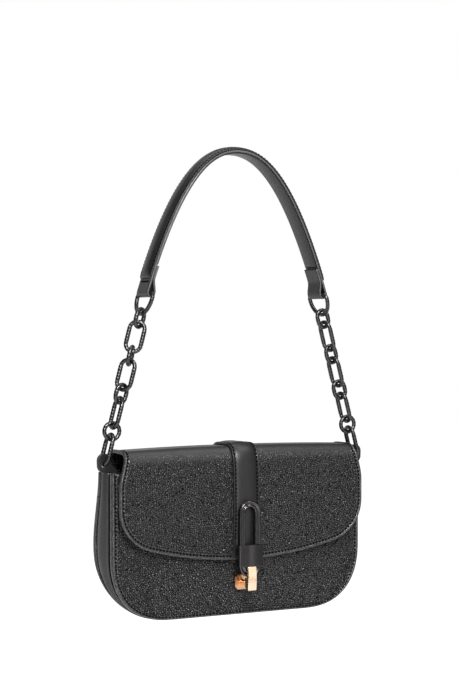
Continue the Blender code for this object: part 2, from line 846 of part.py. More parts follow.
def flap_face(x, z):
    """Outer face of the hanging part of the flap."""
    down = min(1.0, max(0.0, (split_z - z) / (flap_drop - SPLIT_DROP)))
    turn = math.acos((split_z - bag_top + FOLD_HEIGHT) / FOLD_HEIGHT)
    start = (FOLD_FRONT_Y - FLAP_FRONT_Y) * (1 - math.sin(turn))
    bulge = FLAP_CROWN * (1 - min(1.0, abs(x) / flap_half_width) ** 2) * math.sin(math.pi * down**0.8)
    return FLAP_FRONT_Y + start * max(0.0, 1 - down * 8) ** 2 - bulge


strap_face_y = FLAP_FRONT_Y - CLEARANCE - STRAP_THICKNESS - STRAP_CROWN
fold_axis_y = strap_face_y


def make_flap():
    def over_xs(inset):
        return lambda drop: spread(flap_width(drop) - inset, PANEL_COLUMNS)

    add_object("flap_top", over_sheet(over_xs(0.0), 0.0, -FLAP_THICKNESS), GRAINED)
    lining_near = FLAP_THICKNESS + CLEARANCE
    lining_far = lining_near + FLAP_LINING_THICKNESS
    add_object("flap_top_lining", over_sheet(over_xs(FLAP_LINING_INSET), -lining_near, -lining_far, first=1), LINING)

    strap_xs = spread(STRAP_HALF_WIDTH, 6)
    strap = over_sheet(
        lambda drop: strap_xs, CLEARANCE, lambda a: CLEARANCE + STRAP_THICKNESS + STRAP_CROWN * (1 - a**4), first=1
    )
    add_object("strap_top", strap, LEATHER)

    top_z = split_z - CLEARANCE / 2
    sheet = front_sheet(0.0, top_z, flap_face, lambda x, z: flap_face(x, z) + FLAP_THICKNESS)
    flap = add_object("flap_front", sheet, GRAINED)
    sheet = front_sheet(
        FLAP_LINING_INSET,
        top_z - CLEARANCE,
        lambda x, z: flap_face(x, z) + lining_near,
        lambda x, z: flap_face(x, z) + lining_far,
    )
    lining = add_object("flap_front_lining", sheet, LINING)
    sheet = front_sheet(
        0.0,
        top_z,
        lambda x, z: flap_face(0.0, z) - CLEARANCE - STRAP_THICKNESS - STRAP_CROWN * (1 - (x / STRAP_HALF_WIDTH) ** 4),
        lambda x, z: flap_face(0.0, z) - CLEARANCE,
        half_width=STRAP_HALF_WIDTH,
        end_z=bag_top - flap_drop + STRAP_END_RISE,
        columns=6,
        rows_count=9,
    )
    strap = add_object("strap_front", sheet, LEATHER)
    return flap, lining, strap


def make_clasp(flap, lining, strap):
    """Loop, plate, rivets and clip on the flap; base, pins and backing plate on the front panel."""
    loop_top_z = bag_top - flap_drop + LOOP_TOP_RISE
    plate_top_z = bag_top - flap_drop + PLATE_TOP_RISE
    plate_foot_z = plate_top_z - PLATE_HEIGHT
    strap_front = min(flap_face(0.0, loop_top_z), flap_face(0.0, (loop_top_z + plate_top_z) / 2)) - CLEARANCE
    strap_front -= STRAP_THICKNESS + STRAP_CROWN
    loop_y = strap_front - CLEARANCE - LOOP_BAR_DEPTH / 2
    loop = wire_loop(
        stadium(LOOP_HALF_WIDTH, LOOP_LENGTH),
        Vector((0.0, loop_y, loop_top_z)),
        Vector((0.0, 0.0, -1.0)),
        Vector((1.0, 0.0, 0.0)),
        (LOOP_BAR_WIDTH / 2, LOOP_BAR_DEPTH / 2),
    )
    add_object("clasp_loop", loop, BLACK_METAL)

    # The plate's section, level: a face, two side walls and a middle rib between the loop's legs
    loop_face = loop_y - LOOP_BAR_DEPTH / 2
    back_y = strap_front - CLEARANCE
    inner_face = loop_face - CLEARANCE
    face_y = inner_face - PLATE_FACE
    leg_outer = LOOP_HALF_WIDTH + LOOP_BAR_WIDTH / 2 + CLEARANCE
    leg_inner = LOOP_HALF_WIDTH - LOOP_BAR_WIDTH / 2 - CLEARANCE
    half = [
        (0.0, back_y),
        (leg_inner, back_y),
        (leg_inner, inner_face),
        (leg_outer, inner_face),
        (leg_outer, back_y),
        (PLATE_HALF_WIDTH, back_y),
        (PLATE_HALF_WIDTH, face_y + PLATE_CORNER),
        (PLATE_HALF_WIDTH - PLATE_CORNER, face_y),
    ]
    section = half[1:] + [(-x, y) for x, y in half[:0:-1]]
    mesh = bmesh.new()
    rings = []
    for z in (plate_top_z, plate_foot_z):
        rings.append([mesh.verts.new((x, y, z)) for x, y in section])
    join_rings(mesh, rings, cap=True)
    plate = add_object("clasp_plate", mesh, BLACK_METAL)

    # Rivets from inside the flap into the plate's rib
    middle_z = (plate_top_z + plate_foot_z) / 2
    rivet_z = max(middle_z, bag_top - flap_drop + STRAP_END_RISE + RIVET_SPACING)
    inside_y = flap_face(0.0, rivet_z) + FLAP_THICKNESS + CLEARANCE + FLAP_LINING_THICKNESS + CLEARANCE
    holes = bmesh.new()
    for name, place_z in (("clasp_rivet_upper", rivet_z + RIVET_SPACING / 2), ("clasp_rivet_lower", rivet_z - RIVET_SPACING / 2)):
        mesh = bmesh.new()
        steps = (
            (back_y - RIVET_ENTRY, RIVET_RADIUS),
            (inside_y, RIVET_RADIUS),
            (inside_y, RIVET_HEAD_RADIUS),
            (inside_y + RIVET_HEAD_THICKNESS / 2, RIVET_HEAD_RADIUS),
            (inside_y + RIVET_HEAD_THICKNESS, RIVET_HEAD_RADIUS * 0.7),
        )
        stepped_y(mesh, 0.0, place_z, steps)
        add_object(name, mesh, STEEL)
        hole_start = back_y - RIVET_ENTRY - CLEARANCE
        cylinder_y(holes, 0.0, place_z, RIVET_RADIUS + CLEARANCE, hole_start, inside_y)
    tool = cutter("rivet_cutter", holes)
    for target in (flap, lining, strap, plate):
        cut_with(target, tool)

    # Clip: a bowed lip in front of the loop's foot, and a block below it
    bar_z = loop_top_z - LOOP_LENGTH
    lip_back = loop_face - CLEARANCE
    lip_front = lip_back - CLIP_STAND_OFF - CLIP_LIP_THICKNESS
    under_z = bar_z - LOOP_BAR_WIDTH / 2 - CLEARANCE
    top_z, foot_z = bar_z + CLIP_RISE, bar_z - CLIP_DROP
    outline = []
    steps = 8
    for i in range(steps + 1):
        share = i / steps
        bow = CLIP_BOW * math.sin(math.pi * share**0.9)
        outline.append((lip_front - bow, top_z + (foot_z - top_z) * share))
    clip_back = loop_y + CLIP_BACK
    outline += [(clip_back, foot_z + CLIP_SLANT), (clip_back, under_z), (lip_back, under_z)]
    outline += [(lip_back, bar_z), (lip_back - CLIP_STAND_OFF, bar_z + CLIP_RISE / 3)]
    outline += [(lip_back - CLIP_STAND_OFF, top_z)]
    mesh = bmesh.new()
    rings = []
    for x in (-CLIP_HALF_WIDTH, CLIP_HALF_WIDTH):
        rings.append([mesh.verts.new((x, y, z)) for y, z in outline])
    join_rings(mesh, rings, cap=True)
    add_object("clasp_clip", mesh, ROSE_GOLD)

    # Base on the front panel: a plate, a post towards the clip and two pins through the panel
    mouth = BAG_HEIGHT - MOUTH_DROP
    base_z = bag_top - flap_drop - BASE_BELOW
    height = base_z - bag_bottom
    panel_y = min(front_face(0.0, height + BASE_HEIGHT / 2, mouth), front_face(0.0, height - BASE_HEIGHT / 2, mouth))
    base_back = panel_y - CLEARANCE
    base_face = base_back - BASE_THICKNESS
    inside = front_face(0.0, height, mouth) + PANEL_THICKNESS + LINING_THICKNESS + 2 * CLEARANCE
    inside = max(inside, front_face(0.0, height - BASE_HEIGHT, mouth) + PANEL_THICKNESS + LINING_THICKNESS)
    corner = BASE_HEIGHT / 5
    outline = []
    for sx, sz in ((1, 1), (-1, 1), (-1, -1), (1, -1)):
        near_side = (sx * BASE_HALF_WIDTH, base_z + sz * (BASE_HEIGHT / 2 - corner))
        near_end = (sx * (BASE_HALF_WIDTH - corner), base_z + sz * BASE_HEIGHT / 2)
        outline += [near_side, near_end] if sx == sz else [near_end, near_side]
    base = add_object("clip_base", plate_solid(outline, base_face, base_back), ROSE_GOLD)
    posts = bmesh.new()
    post_z = (under_z + foot_z) / 2
    cylinder_y(posts, 0.0, post_z, POST_RADIUS, clip_back + CLEARANCE, base_back - BASE_THICKNESS / 2)
    for sx in (-1, 1):
        cylinder_y(posts, sx * PIN_SPACING / 2, base_z, PIN_RADIUS, base_back - BASE_THICKNESS / 2, inside + BACKPLATE_THICKNESS)
    tool = cutter("base_posts", posts)
    joined = base.modifiers.new("posts", "BOOLEAN")
    joined.operation = "UNION"
    joined.solver = "EXACT"
    joined.object = tool
    holes = bmesh.new()
    for sx in (-1, 1):
        cylinder_y(holes, sx * PIN_SPACING / 2, base_z, PIN_RADIUS + CLEARANCE, base_back, inside + OVERRUN)
    tool = cutter("pin_cutter", holes)
    backplate = add_object("clip_backplate", plate_solid(outline, inside, inside + BACKPLATE_THICKNESS), STEEL)
    for name in ("front_panel", "front_lining"):
        cut_with(bpy.data.objects[name], tool)
    cut_with(backplate, tool)


def set_bodies():
    """Empties on the joint axes, and the pieces that ride on each."""
    groups = {
        "ring_frame": ((0.0, 0.0, bar_right.z), ["ring_left", "ring_right"]),
        "bag_frame": (
            (0.0, 0.0, eye_z),
            [
                "front_panel", "back_panel", "front_piping", "back_piping", "gusset", "front_lining", "back_lining",
                "tab_left", "tab_right", "clip_base", "clip_backplate",
            ],
        ),
        "flap_frame": ((0.0, back_top_y, back_top_z), ["flap_top", "flap_top_lining", "strap_top"]),
        "fold_frame": (
            (0.0, fold_axis_y, split_z),
            [
                "flap_front", "flap_front_lining", "strap_front", "clasp_loop", "clasp_plate", "clasp_clip",
                "clasp_rivet_upper", "clasp_rivet_lower",
            ],
        ),
    }
    for name, (place, pieces) in groups.items():
        holder = frame_empty(name, place)
        for piece in pieces:
            keep_place(bpy.data.objects[piece], holder)


clear_scene()
make_handle()
make_chains()
make_body()
make_tabs()
make_clasp(*make_flap())
set_bodies()
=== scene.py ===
import json
import math

import bmesh
import bpy
import numpy as np
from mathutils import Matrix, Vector, noise


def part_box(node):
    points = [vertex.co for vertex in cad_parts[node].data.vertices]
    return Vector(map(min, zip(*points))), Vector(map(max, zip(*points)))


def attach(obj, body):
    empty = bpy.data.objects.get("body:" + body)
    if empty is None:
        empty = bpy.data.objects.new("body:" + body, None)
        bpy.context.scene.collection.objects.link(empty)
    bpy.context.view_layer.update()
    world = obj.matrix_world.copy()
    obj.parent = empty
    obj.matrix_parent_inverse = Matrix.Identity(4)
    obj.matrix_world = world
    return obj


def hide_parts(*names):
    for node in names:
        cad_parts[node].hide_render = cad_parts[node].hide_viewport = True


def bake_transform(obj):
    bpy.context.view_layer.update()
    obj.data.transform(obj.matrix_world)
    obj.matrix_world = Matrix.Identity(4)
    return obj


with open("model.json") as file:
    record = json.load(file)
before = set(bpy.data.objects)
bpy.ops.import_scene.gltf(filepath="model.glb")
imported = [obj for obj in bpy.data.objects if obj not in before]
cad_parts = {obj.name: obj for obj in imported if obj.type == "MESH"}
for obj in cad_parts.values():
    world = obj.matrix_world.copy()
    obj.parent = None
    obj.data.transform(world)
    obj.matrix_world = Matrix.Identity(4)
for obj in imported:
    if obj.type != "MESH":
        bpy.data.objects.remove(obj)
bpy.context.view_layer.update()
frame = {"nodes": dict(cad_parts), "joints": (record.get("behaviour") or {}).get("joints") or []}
mm = 0.001


def boxMm(node):
    low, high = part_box(node)
    return [c / mm for c in low], [c / mm for c in high]


def jointZ(name):
    for joint in frame["joints"]:
        if joint["name"] == name:
            return joint["pos_m"][2] / mm
    return 0.0


# small tools, all lengths in millimetres


def smoothStep(low, high, value):
    share = min(1.0, max(0.0, (value - low) / (high - low)))
    return share * share * (3 - 2 * share)


def fromHex(code):
    parts = [int(code[i : i + 2], 16) / 255 for i in (1, 3, 5)]
    return tuple(p / 12.92 if p <= 0.04045 else ((p + 0.055) / 1.055) ** 2.4 for p in parts) + (1.0,)


def makePiece(name, points, faces, material, body, replaced=(), sharp=None):
    mesh = bpy.data.meshes.new(name)
    mesh.from_pydata([(p[0] * mm, p[1] * mm, p[2] * mm) for p in points], [], faces)
    work = bmesh.new()
    work.from_mesh(mesh)
    bmesh.ops.recalc_face_normals(work, faces=work.faces)
    work.to_mesh(mesh)
    work.free()
    mesh.materials.append(material)
    mesh.shade_smooth()
    if sharp:
        mesh.set_sharp_from_angle(angle=math.radians(sharp))
    piece = bpy.data.objects.new(name, mesh)
    bpy.context.collection.objects.link(piece)
    if isinstance(body, str):
        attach(piece, body)
    else:
        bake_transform(piece)
    if replaced:
        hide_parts(*replaced)
    return piece


def ringFaces(ringCount, sides, loop=False, offset=0, caps=True):
    faces = []
    for i in range(ringCount if loop else ringCount - 1):
        a, b = i * sides, ((i + 1) % ringCount) * sides
        for k in range(sides):
            n = (k + 1) % sides
            faces.append((offset + a + k, offset + a + n, offset + b + n, offset + b + k))
    if caps and not loop:
        faces.append(tuple(offset + k for k in range(sides)))
        faces.append(tuple(offset + (ringCount - 1) * sides + k for k in range(sides)))
    return faces


def tube(rings, loop=False):
    return [p for ring in rings for p in ring], ringFaces(len(rings), len(rings[0]), loop)


def sheetPair(near, far):
    # two matching grids and the wall round their border
    rows, cols = len(near), len(near[0])
    points = [p for row in near for p in row] + [p for row in far for p in row]
    half = rows * cols
    faces = []
    for base in (0, half):
        for r in range(rows - 1):
            for c in range(cols - 1):
                i = base + r * cols + c
                faces.append((i, i + 1, i + cols + 1, i + cols))
    edge = list(range(cols)) + [r * cols + cols - 1 for r in range(1, rows)]
    edge += [(rows - 1) * cols + c for c in range(cols - 2, -1, -1)]
    edge += [r * cols for r in range(rows - 2, 0, -1)]
    for a, b in zip(edge, edge[1:] + edge[:1]):
        faces.append((a, b, b + half, a + half))
    return points, faces


def around(count):
    # angles once round a circle
    return [2 * math.pi * k / count for k in range(count)]


def runLengths(line):
    # how far along a line each of its points lies
    return np.concatenate([[0], np.cumsum(np.linalg.norm(np.diff(line, axis=0), axis=1))])


def resample(path, step):
    path = np.array(path, float)
    lengths = runLengths(path)
    count = max(2, int(round(lengths[-1] / step)) + 1)
    places = np.linspace(0, lengths[-1], count)
    return np.stack([np.interp(places, lengths, path[:, k]) for k in range(path.shape[1])], axis=1)


def sideways(path, sign=1):
    # unit normals of a flat path, to its left when sign is 1
    along = np.gradient(path, axis=0)
    along /= np.linalg.norm(along, axis=1)[:, None]
    return np.stack([-along[:, 1], along[:, 0]], axis=1) * sign


def mirrored(half):
    # half runs from the left end to the middle line
    return half + [(-x, s) for x, s in half[-2::-1]]


# sewing

seam = dict(
    # the leather of a rim dips by turns along its seam, on the outer side and near the thread
    step=0.775, dipPitch=3.1, dip=0.2, dipReach=1.1, outerSide=-1.2,
    pitch=3.3, length=2.3, thread=0.8, threadSides=6, pathStep=0.5,
    # one stitch from end to end: place, thickness and rise
    profile=((-1.0, 0.4, -0.5), (-0.8, 0.85, -0.1), (-0.4, 1.0, 0.1), (0.0, 1.0, 0.15), (0.4, 1.0, 0.1),
             (0.8, 0.85, -0.1), (1.0, 0.4, -0.5)),
)


def bandRings(path, section, surface, sign, stitchInset, footShare=1.0):
    # a rolled rim along a path; footShare narrows it where it runs along the foot
    normals = sideways(path, sign)
    lengths = runLengths(path + normals * stitchInset)
    pitch = seam["dipPitch"]
    start = (lengths[-1] - int(lengths[-1] / pitch) * pitch) / 2
    rings = []
    for place, inward, length in zip(path, normals, lengths):
        dipped = 0.5 - 0.5 * math.cos(2 * math.pi * (length - start) / pitch)
        narrow = 1 - (1 - footShare) * max(0.0, inward[1])
        ring = []
        for u, v in section:
            near = max(0.0, 1 - abs(u - stitchInset) / seam["dipReach"]) if v > seam["outerSide"] else 0.0
            at = place + inward * u * narrow
            ring.append(surface(at[0], at[1], v - seam["dip"] * near * dipped))
        rings.append(ring)
    return rings


def stitches(name, path, inset, surface, sign, body, lift=0.0, pitch=seam["pitch"], length=seam["length"],
             skip=None, footShare=1.0):
    # a row of thread on a path, each stitch a small arch whose ends go down into the leather
    path = resample(path, seam["pathStep"])
    normals = sideways(path, sign)
    narrow = 1 - (1 - footShare) * np.maximum(0.0, normals[:, 1])
    line = path + normals * inset * narrow[:, None]
    lengths = runLengths(line)

    def pointAt(run):
        return np.interp(run, lengths, line[:, 0]), np.interp(run, lengths, line[:, 1])

    points, faces = [], []
    count = int(lengths[-1] / pitch)
    start = (lengths[-1] - count * pitch) / 2 + pitch / 2
    for i in range(count):
        middle = start + i * pitch
        if skip and skip(*pointAt(middle)):
            continue
        places = []
        for t, grow, rise in seam["profile"]:
            x, s = pointAt(middle + t * length / 2)
            on, above = Vector(surface(x, s, lift + rise)), Vector(surface(x, s, lift + rise + 1.0))
            places.append((on, above, grow))
        along = (places[-1][0] - places[0][0]).normalized()
        rings = []
        for place, above, grow in places:
            up = (above - place).normalized()
            side = along.cross(up).normalized()
            ring = []
            for turn in around(seam["threadSides"]):
                ring.append(place + (side * math.cos(turn) + up * math.sin(turn)) * seam["thread"] * grow)
            rings.append(ring)
        faces += ringFaces(len(rings), seam["threadSides"], offset=len(points))
        points += [p for ring in rings for p in ring]
    makePiece(name, points, faces, threadNylon, body)


# materials


def addNode(tree, kind, values=None, **settings):
    made = tree.nodes.new(kind)
    for name, value in settings.items():
        setattr(made, name, value)
    for socket, value in (values or {}).items():
        if isinstance(value, bpy.types.NodeSocket):
            tree.links.new(value, made.inputs[socket])
        else:
            made.inputs[socket].default_value = value
    return made


def newMaterial(name, roughness, metallic=0.0, **sockets):
    made = bpy.data.materials.new(name)
    made.use_nodes = True
    tree = made.node_tree
    shader = tree.nodes["Principled BSDF"]
    shader.inputs["Roughness"].default_value = roughness
    shader.inputs["Metallic"].default_value = metallic
    for socket, value in sockets.items():
        shader.inputs[socket.replace("_", " ")].default_value = value
    return made, tree, shader


# what every leather shares: how its cells are bent and scattered, how its dye drifts, what a fold does to it
# and the painted shade it gets there
hide = dict(
    bendScale=0.6, bend=1.1, scatter=0.8, drift=38.0, poreRough=0.6, creaseRougher=0.2, driftRougher=0.12,
    foldCalm=0.85, foldShade=0.6, foldDuller=0.5,
)


def makeLeather(name, looks):
    # dyed hide: rounded cells of grain with dark creases between them, pores, and a slow drift of the dye
    made, tree, shader = newMaterial(name, looks["roughness"], IOR=1.5)
    cell = looks["cell"] * mm
    place = addNode(tree, "ShaderNodeTexCoord").outputs["Object"]
    laid = place
    if looks["flat"]:
        # panels face forward or back, so their grain is laid out on X and on Z less the distance from the
        # middle, through the middle of one layer of cells
        axes = addNode(tree, "ShaderNodeSeparateXYZ", {0: place}).outputs
        away = addNode(tree, "ShaderNodeMath", {0: axes["Y"]}, operation="ABSOLUTE").outputs[0]
        along = addNode(tree, "ShaderNodeMath", {0: axes["Z"], 1: away}, operation="SUBTRACT").outputs[0]
        laid = addNode(tree, "ShaderNodeCombineXYZ", {0: axes["X"], 1: along, 2: cell / 2}).outputs[0]
    warp = addNode(
        tree, "ShaderNodeTexNoise", {"Vector": place, "Scale": hide["bendScale"] / cell, "Detail": 2.0}
    ).outputs["Color"]
    bent = addNode(
        tree, "ShaderNodeVectorMath", {0: warp, 1: (0.5, 0.5, 0.5)}, operation="SUBTRACT"
    ).outputs[0]
    bent = addNode(
        tree, "ShaderNodeVectorMath", {0: bent, "Scale": cell * hide["bend"]}, operation="SCALE"
    ).outputs[0]
    bent = addNode(tree, "ShaderNodeVectorMath", {0: laid, 1: bent}, operation="ADD").outputs[0]
    spread = {"Vector": bent, "Scale": 1 / cell, "Randomness": hide["scatter"]}
    fromEdge = addNode(tree, "ShaderNodeTexVoronoi", spread, feature="DISTANCE_TO_EDGE").outputs["Distance"]
    cells = addNode(tree, "ShaderNodeTexVoronoi", spread, feature="F1")
    grain = addNode(
        tree, "ShaderNodeMapRange", {"Value": fromEdge, 1: 0.0, 2: looks["crease"], 3: 0.0, 4: 1.0},
        interpolation_type="SMOOTHSTEP",
    ).outputs[0]
    dome = addNode(
        tree, "ShaderNodeMapRange", {"Value": fromEdge, 1: 0.0, 2: looks["domeWidth"], 3: 0.0, 4: 1.0},
        interpolation_type="SMOOTHSTEP",
    ).outputs[0]
    # stretched over a fold, the grain lies flat, its creases open and the finish is duller; the dye there is
    # painted darker, a painted shade that holds down the light the fold catches from above
    fold = addNode(tree, "ShaderNodeAttribute", attribute_name="fold").outputs["Fac"]
    calm = addNode(
        tree, "ShaderNodeMath", {0: fold, 1: -hide["foldCalm"], 2: 1.0}, operation="MULTIPLY_ADD"
    ).outputs[0]
    opened = addNode(tree, "ShaderNodeMath", {0: 1.0, 1: grain}, operation="SUBTRACT").outputs[0]
    opened = addNode(tree, "ShaderNodeMath", {0: opened, 1: calm}, operation="MULTIPLY").outputs[0]
    grain = addNode(tree, "ShaderNodeMath", {0: 1.0, 1: opened}, operation="SUBTRACT").outputs[0]
    pores = addNode(
        tree, "ShaderNodeTexNoise",
        {"Vector": place, "Scale": 1 / (looks["pore"] * mm), "Detail": 3.0, "Roughness": hide["poreRough"]},
    ).outputs["Fac"]
    height = addNode(
        tree, "ShaderNodeMath", {0: pores, 1: looks["poreShare"], 2: dome}, operation="MULTIPLY_ADD"
    ).outputs[0]
    strength = addNode(
        tree, "ShaderNodeMath", {0: calm, 1: looks["strength"]}, operation="MULTIPLY"
    ).outputs[0]
    bump = addNode(
        tree, "ShaderNodeBump", {"Height": height, "Strength": strength, "Distance": looks["depth"] * mm}
    )
    tree.links.new(bump.outputs[0], shader.inputs["Normal"])
    # the dye drifts slowly over the hide and differs a little from cell to cell; the creases are painted
    # dark, as painted shade
    drift = addNode(
        tree, "ShaderNodeTexNoise", {"Vector": place, "Scale": 1 / (hide["drift"] * mm), "Detail": 3.0}
    ).outputs["Fac"]
    tone = addNode(tree, "ShaderNodeSeparateColor", {0: cells.outputs["Color"]}).outputs[0]
    driftShare, toneShare = looks["driftShare"], looks["cellTone"]
    shade = addNode(
        tree, "ShaderNodeMath", {0: drift, 1: driftShare, 2: 0.5 - driftShare / 2}, operation="MULTIPLY_ADD"
    ).outputs[0]
    shade = addNode(
        tree, "ShaderNodeMath", {0: tone, 1: toneShare, 2: shade}, operation="MULTIPLY_ADD"
    ).outputs[0]
    # painted shade: the dye is darkened over the fold
    shade = addNode(
        tree, "ShaderNodeMath", {0: fold, 1: -hide["foldShade"], 2: shade}, operation="MULTIPLY_ADD"
    ).outputs[0]
    shade = addNode(
        tree, "ShaderNodeMath", {0: shade, 1: toneShare / 2}, operation="SUBTRACT", use_clamp=True
    ).outputs[0]
    dye = addNode(
        tree, "ShaderNodeMix", {0: shade, 6: fromHex(looks["dyeDark"]), 7: fromHex(looks["dye"])},
        data_type="RGBA",
    ).outputs[2]
    # painted shade: the creases take a near-black colour
    creaseShaded = addNode(
        tree, "ShaderNodeMix", {0: grain, 6: fromHex(looks["creaseShade"]), 7: dye}, data_type="RGBA"
    ).outputs[2]
    tree.links.new(creaseShaded, shader.inputs["Base Color"])
    creaseRoughness = looks["roughness"] + hide["creaseRougher"]
    rough = addNode(
        tree, "ShaderNodeMapRange",
        {"Value": grain, 1: 0.0, 2: 1.0, 3: creaseRoughness, 4: looks["roughness"]},
    ).outputs[0]
    rough = addNode(
        tree, "ShaderNodeMath", {0: drift, 1: hide["driftRougher"], 2: rough}, operation="MULTIPLY_ADD"
    ).outputs[0]
    tree.links.new(rough, shader.inputs["Roughness"])
    # little light gets out of a crease
    shine = addNode(
        tree, "ShaderNodeMapRange",
        {"Value": grain, 1: 0.0, 2: 1.0, 3: looks["creaseShine"], 4: looks["shine"]},
    ).outputs[0]
    dull = addNode(
        tree, "ShaderNodeMath", {0: fold, 1: -hide["foldDuller"], 2: 1.0}, operation="MULTIPLY_ADD"
    ).outputs[0]
    shine = addNode(tree, "ShaderNodeMath", {0: shine, 1: dull}, operation="MULTIPLY").outputs[0]
    tree.links.new(shine, shader.inputs["Specular IOR Level"])
    return made


# tumbled cowhide, shrunken grain: small domed cells catch the light, and their creases are painted dark as
# shade
pebbledCowhide = makeLeather(
    "pebbledCowhide",
    dict(dye="#29292b", dyeDark="#1d1d1f", creaseShade="#070708", roughness=0.3, shine=1.0, creaseShine=0.0,
         cell=1.75, crease=0.33, domeWidth=0.5, depth=0.72, strength=1.0, flat=True,
         pore=0.4, poreShare=0.02, cellTone=0.15, driftShare=0.4),
)
# the same hide pressed and turned over a cord: the grain is ironed nearly flat, and its dye is painted
# lighter, as a painted highlight on the roll
turnedCowhide = makeLeather(
    "turnedCowhide",
    # painted highlight: a dye lighter than the panels', for the light the roll catches
    dict(dye="#333335", dyeDark="#242426", creaseShade="#161617", roughness=0.24, shine=1.0, creaseShine=0.3,
         cell=1.8, crease=0.2, domeWidth=0.45, depth=0.16, strength=0.8, flat=False,
         pore=0.3, poreShare=0.3, cellTone=0.6, driftShare=0.5),
)
# finished calf, plated smooth: a fine hair grain and a satin gloss
platedCalf = makeLeather(
    "platedCalf",
    dict(dye="#18181a", dyeDark="#0e0e0f", creaseShade="#0b0b0b", roughness=0.3, shine=0.45, creaseShine=0.35,
         cell=0.9, crease=0.12, domeWidth=0.3, depth=0.06, strength=0.35, flat=False,
         pore=0.3, poreShare=0.5, cellTone=0.3, driftShare=1.0),
)
# edge paint, brushed on the cut edges and sanded: a rounded skin, glossier than the leather
edgePaint = makeLeather(
    "edgePaint",
    dict(dye="#474345", dyeDark="#393637", creaseShade="#333031", roughness=0.22, shine=0.8, creaseShine=0.7,
         cell=1.6, crease=0.1, domeWidth=0.3, depth=0.05, strength=0.25, flat=False,
         pore=0.5, poreShare=0.6, cellTone=0.4, driftShare=0.8),
)


def makeThread():
    # bonded nylon, twisted from three strands: slanted ridges, matt and black; its colour is painted near
    # black, darker still in the twist's grooves, and its gloss kept low, as painted shade of the deep seam
    made, tree, shader = newMaterial("threadNylon", 0.85, IOR=1.53, Specular_IOR_Level=0.08)
    twistPitch = 0.586
    diagonalStep = 2 * math.pi / (10 * math.sqrt(3))  # the wave repeats after this length, at a scale of 1
    place = addNode(tree, "ShaderNodeTexCoord").outputs["Object"]
    twist = addNode(
        tree, "ShaderNodeTexWave",
        {"Vector": place, "Scale": diagonalStep / (twistPitch * mm), "Distortion": 0.4},
        bands_direction="DIAGONAL",
    ).outputs["Fac"]
    # painted shade: a near-black colour, darker where the twist is low
    colour = addNode(
        tree, "ShaderNodeMix", {0: twist, 6: fromHex("#020202"), 7: fromHex("#080808")}, data_type="RGBA"
    ).outputs[2]
    tree.links.new(colour, shader.inputs["Base Color"])
    bump = addNode(tree, "ShaderNodeBump", {"Height": twist, "Strength": 0.5, "Distance": 0.05 * mm})
    tree.links.new(bump.outputs[0], shader.inputs["Normal"])
    return made


threadNylon = makeThread()

# cast and plated metal: width of the waves from polishing and of the hairlines, and what they do to the gloss
metal = dict(
    waves=4.0, hair=0.25, hairLow=0.3, hairHigh=0.7, glossier=0.05, duller=0.07, hairShare=0.5, relief=0.02,
)


def makeMetal(name, looks):
    # cast metal with a thin finish: faint waviness from polishing, hairlines, and a slow drift of its tone
    made, tree, shader = newMaterial(name, looks["roughness"], looks["metallic"])
    place = addNode(tree, "ShaderNodeTexCoord").outputs["Object"]
    cloud = addNode(
        tree, "ShaderNodeTexNoise", {"Vector": place, "Scale": 1 / (metal["waves"] * mm), "Detail": 4.0}
    ).outputs["Fac"]
    stretch = addNode(tree, "ShaderNodeMapping", {"Vector": place, "Scale": looks["hairStretch"]}).outputs[0]
    hair = addNode(
        tree, "ShaderNodeTexNoise", {"Vector": stretch, "Scale": 1 / (metal["hair"] * mm), "Detail": 2.0}
    ).outputs["Fac"]
    colour = addNode(
        tree, "ShaderNodeMix", {0: cloud, 6: fromHex(looks["dark"]), 7: fromHex(looks["light"])},
        data_type="RGBA",
    ).outputs[2]
    tree.links.new(colour, shader.inputs["Base Color"])
    glossy, dull = looks["roughness"] - metal["glossier"], looks["roughness"] + metal["duller"]
    rough = addNode(
        tree, "ShaderNodeMapRange",
        {"Value": hair, 1: metal["hairLow"], 2: metal["hairHigh"], 3: glossy, 4: dull},
    ).outputs[0]
    tree.links.new(rough, shader.inputs["Roughness"])
    both = addNode(
        tree, "ShaderNodeMath", {0: hair, 1: metal["hairShare"], 2: cloud}, operation="MULTIPLY_ADD"
    ).outputs[0]
    bump = addNode(
        tree, "ShaderNodeBump",
        {"Height": both, "Strength": looks["strength"], "Distance": metal["relief"] * mm},
    )
    tree.links.new(bump.outputs[0], shader.inputs["Normal"])
    return made


# zinc alloy, cast and lacquered black: half-gloss, with soft grey highlights
blackZinc = makeMetal(
    "blackZinc",
    dict(dark="#403e3f", light="#4c4a4b",
         metallic=0.95, roughness=0.24, strength=0.12, hairStretch=(1, 1, 1)),
)
# the same alloy, polished before the lacquer: sharper, whiter highlights on the clasp
polishedZinc = makeMetal(
    "polishedZinc",
    dict(dark="#454344", light="#525051",
         metallic=0.95, roughness=0.15, strength=0.08, hairStretch=(1, 1, 1)),
)
# brass with rose gold plating, satin brushed from top to bottom: pink, bright and slightly streaked
roseGold = makeMetal(
    "roseGold",
    dict(dark="#e6c3a2", light="#f6dcc2",
         metallic=1.0, roughness=0.2, strength=0.35, hairStretch=(1, 1, 0.06)),
)
# the same plating, less polished, on the base behind the clip; its colour is painted a darker, redder gold,
# as the clip's shade on it
shadedRoseGold = makeMetal(
    "shadedRoseGold",
    dict(dark="#c2926c", light="#ecc49c",
         metallic=1.0, roughness=0.28, strength=0.4, hairStretch=(1, 1, 0.06)),
)
# plain steel, turned: a dull grey for the hidden rivets and plate
turnedSteel = makeMetal(
    "turnedSteel",
    dict(dark="#8f8f92", light="#a9a9ac",
         metallic=1.0, roughness=0.36, strength=0.4, hairStretch=(1, 1, 0.1)),
)


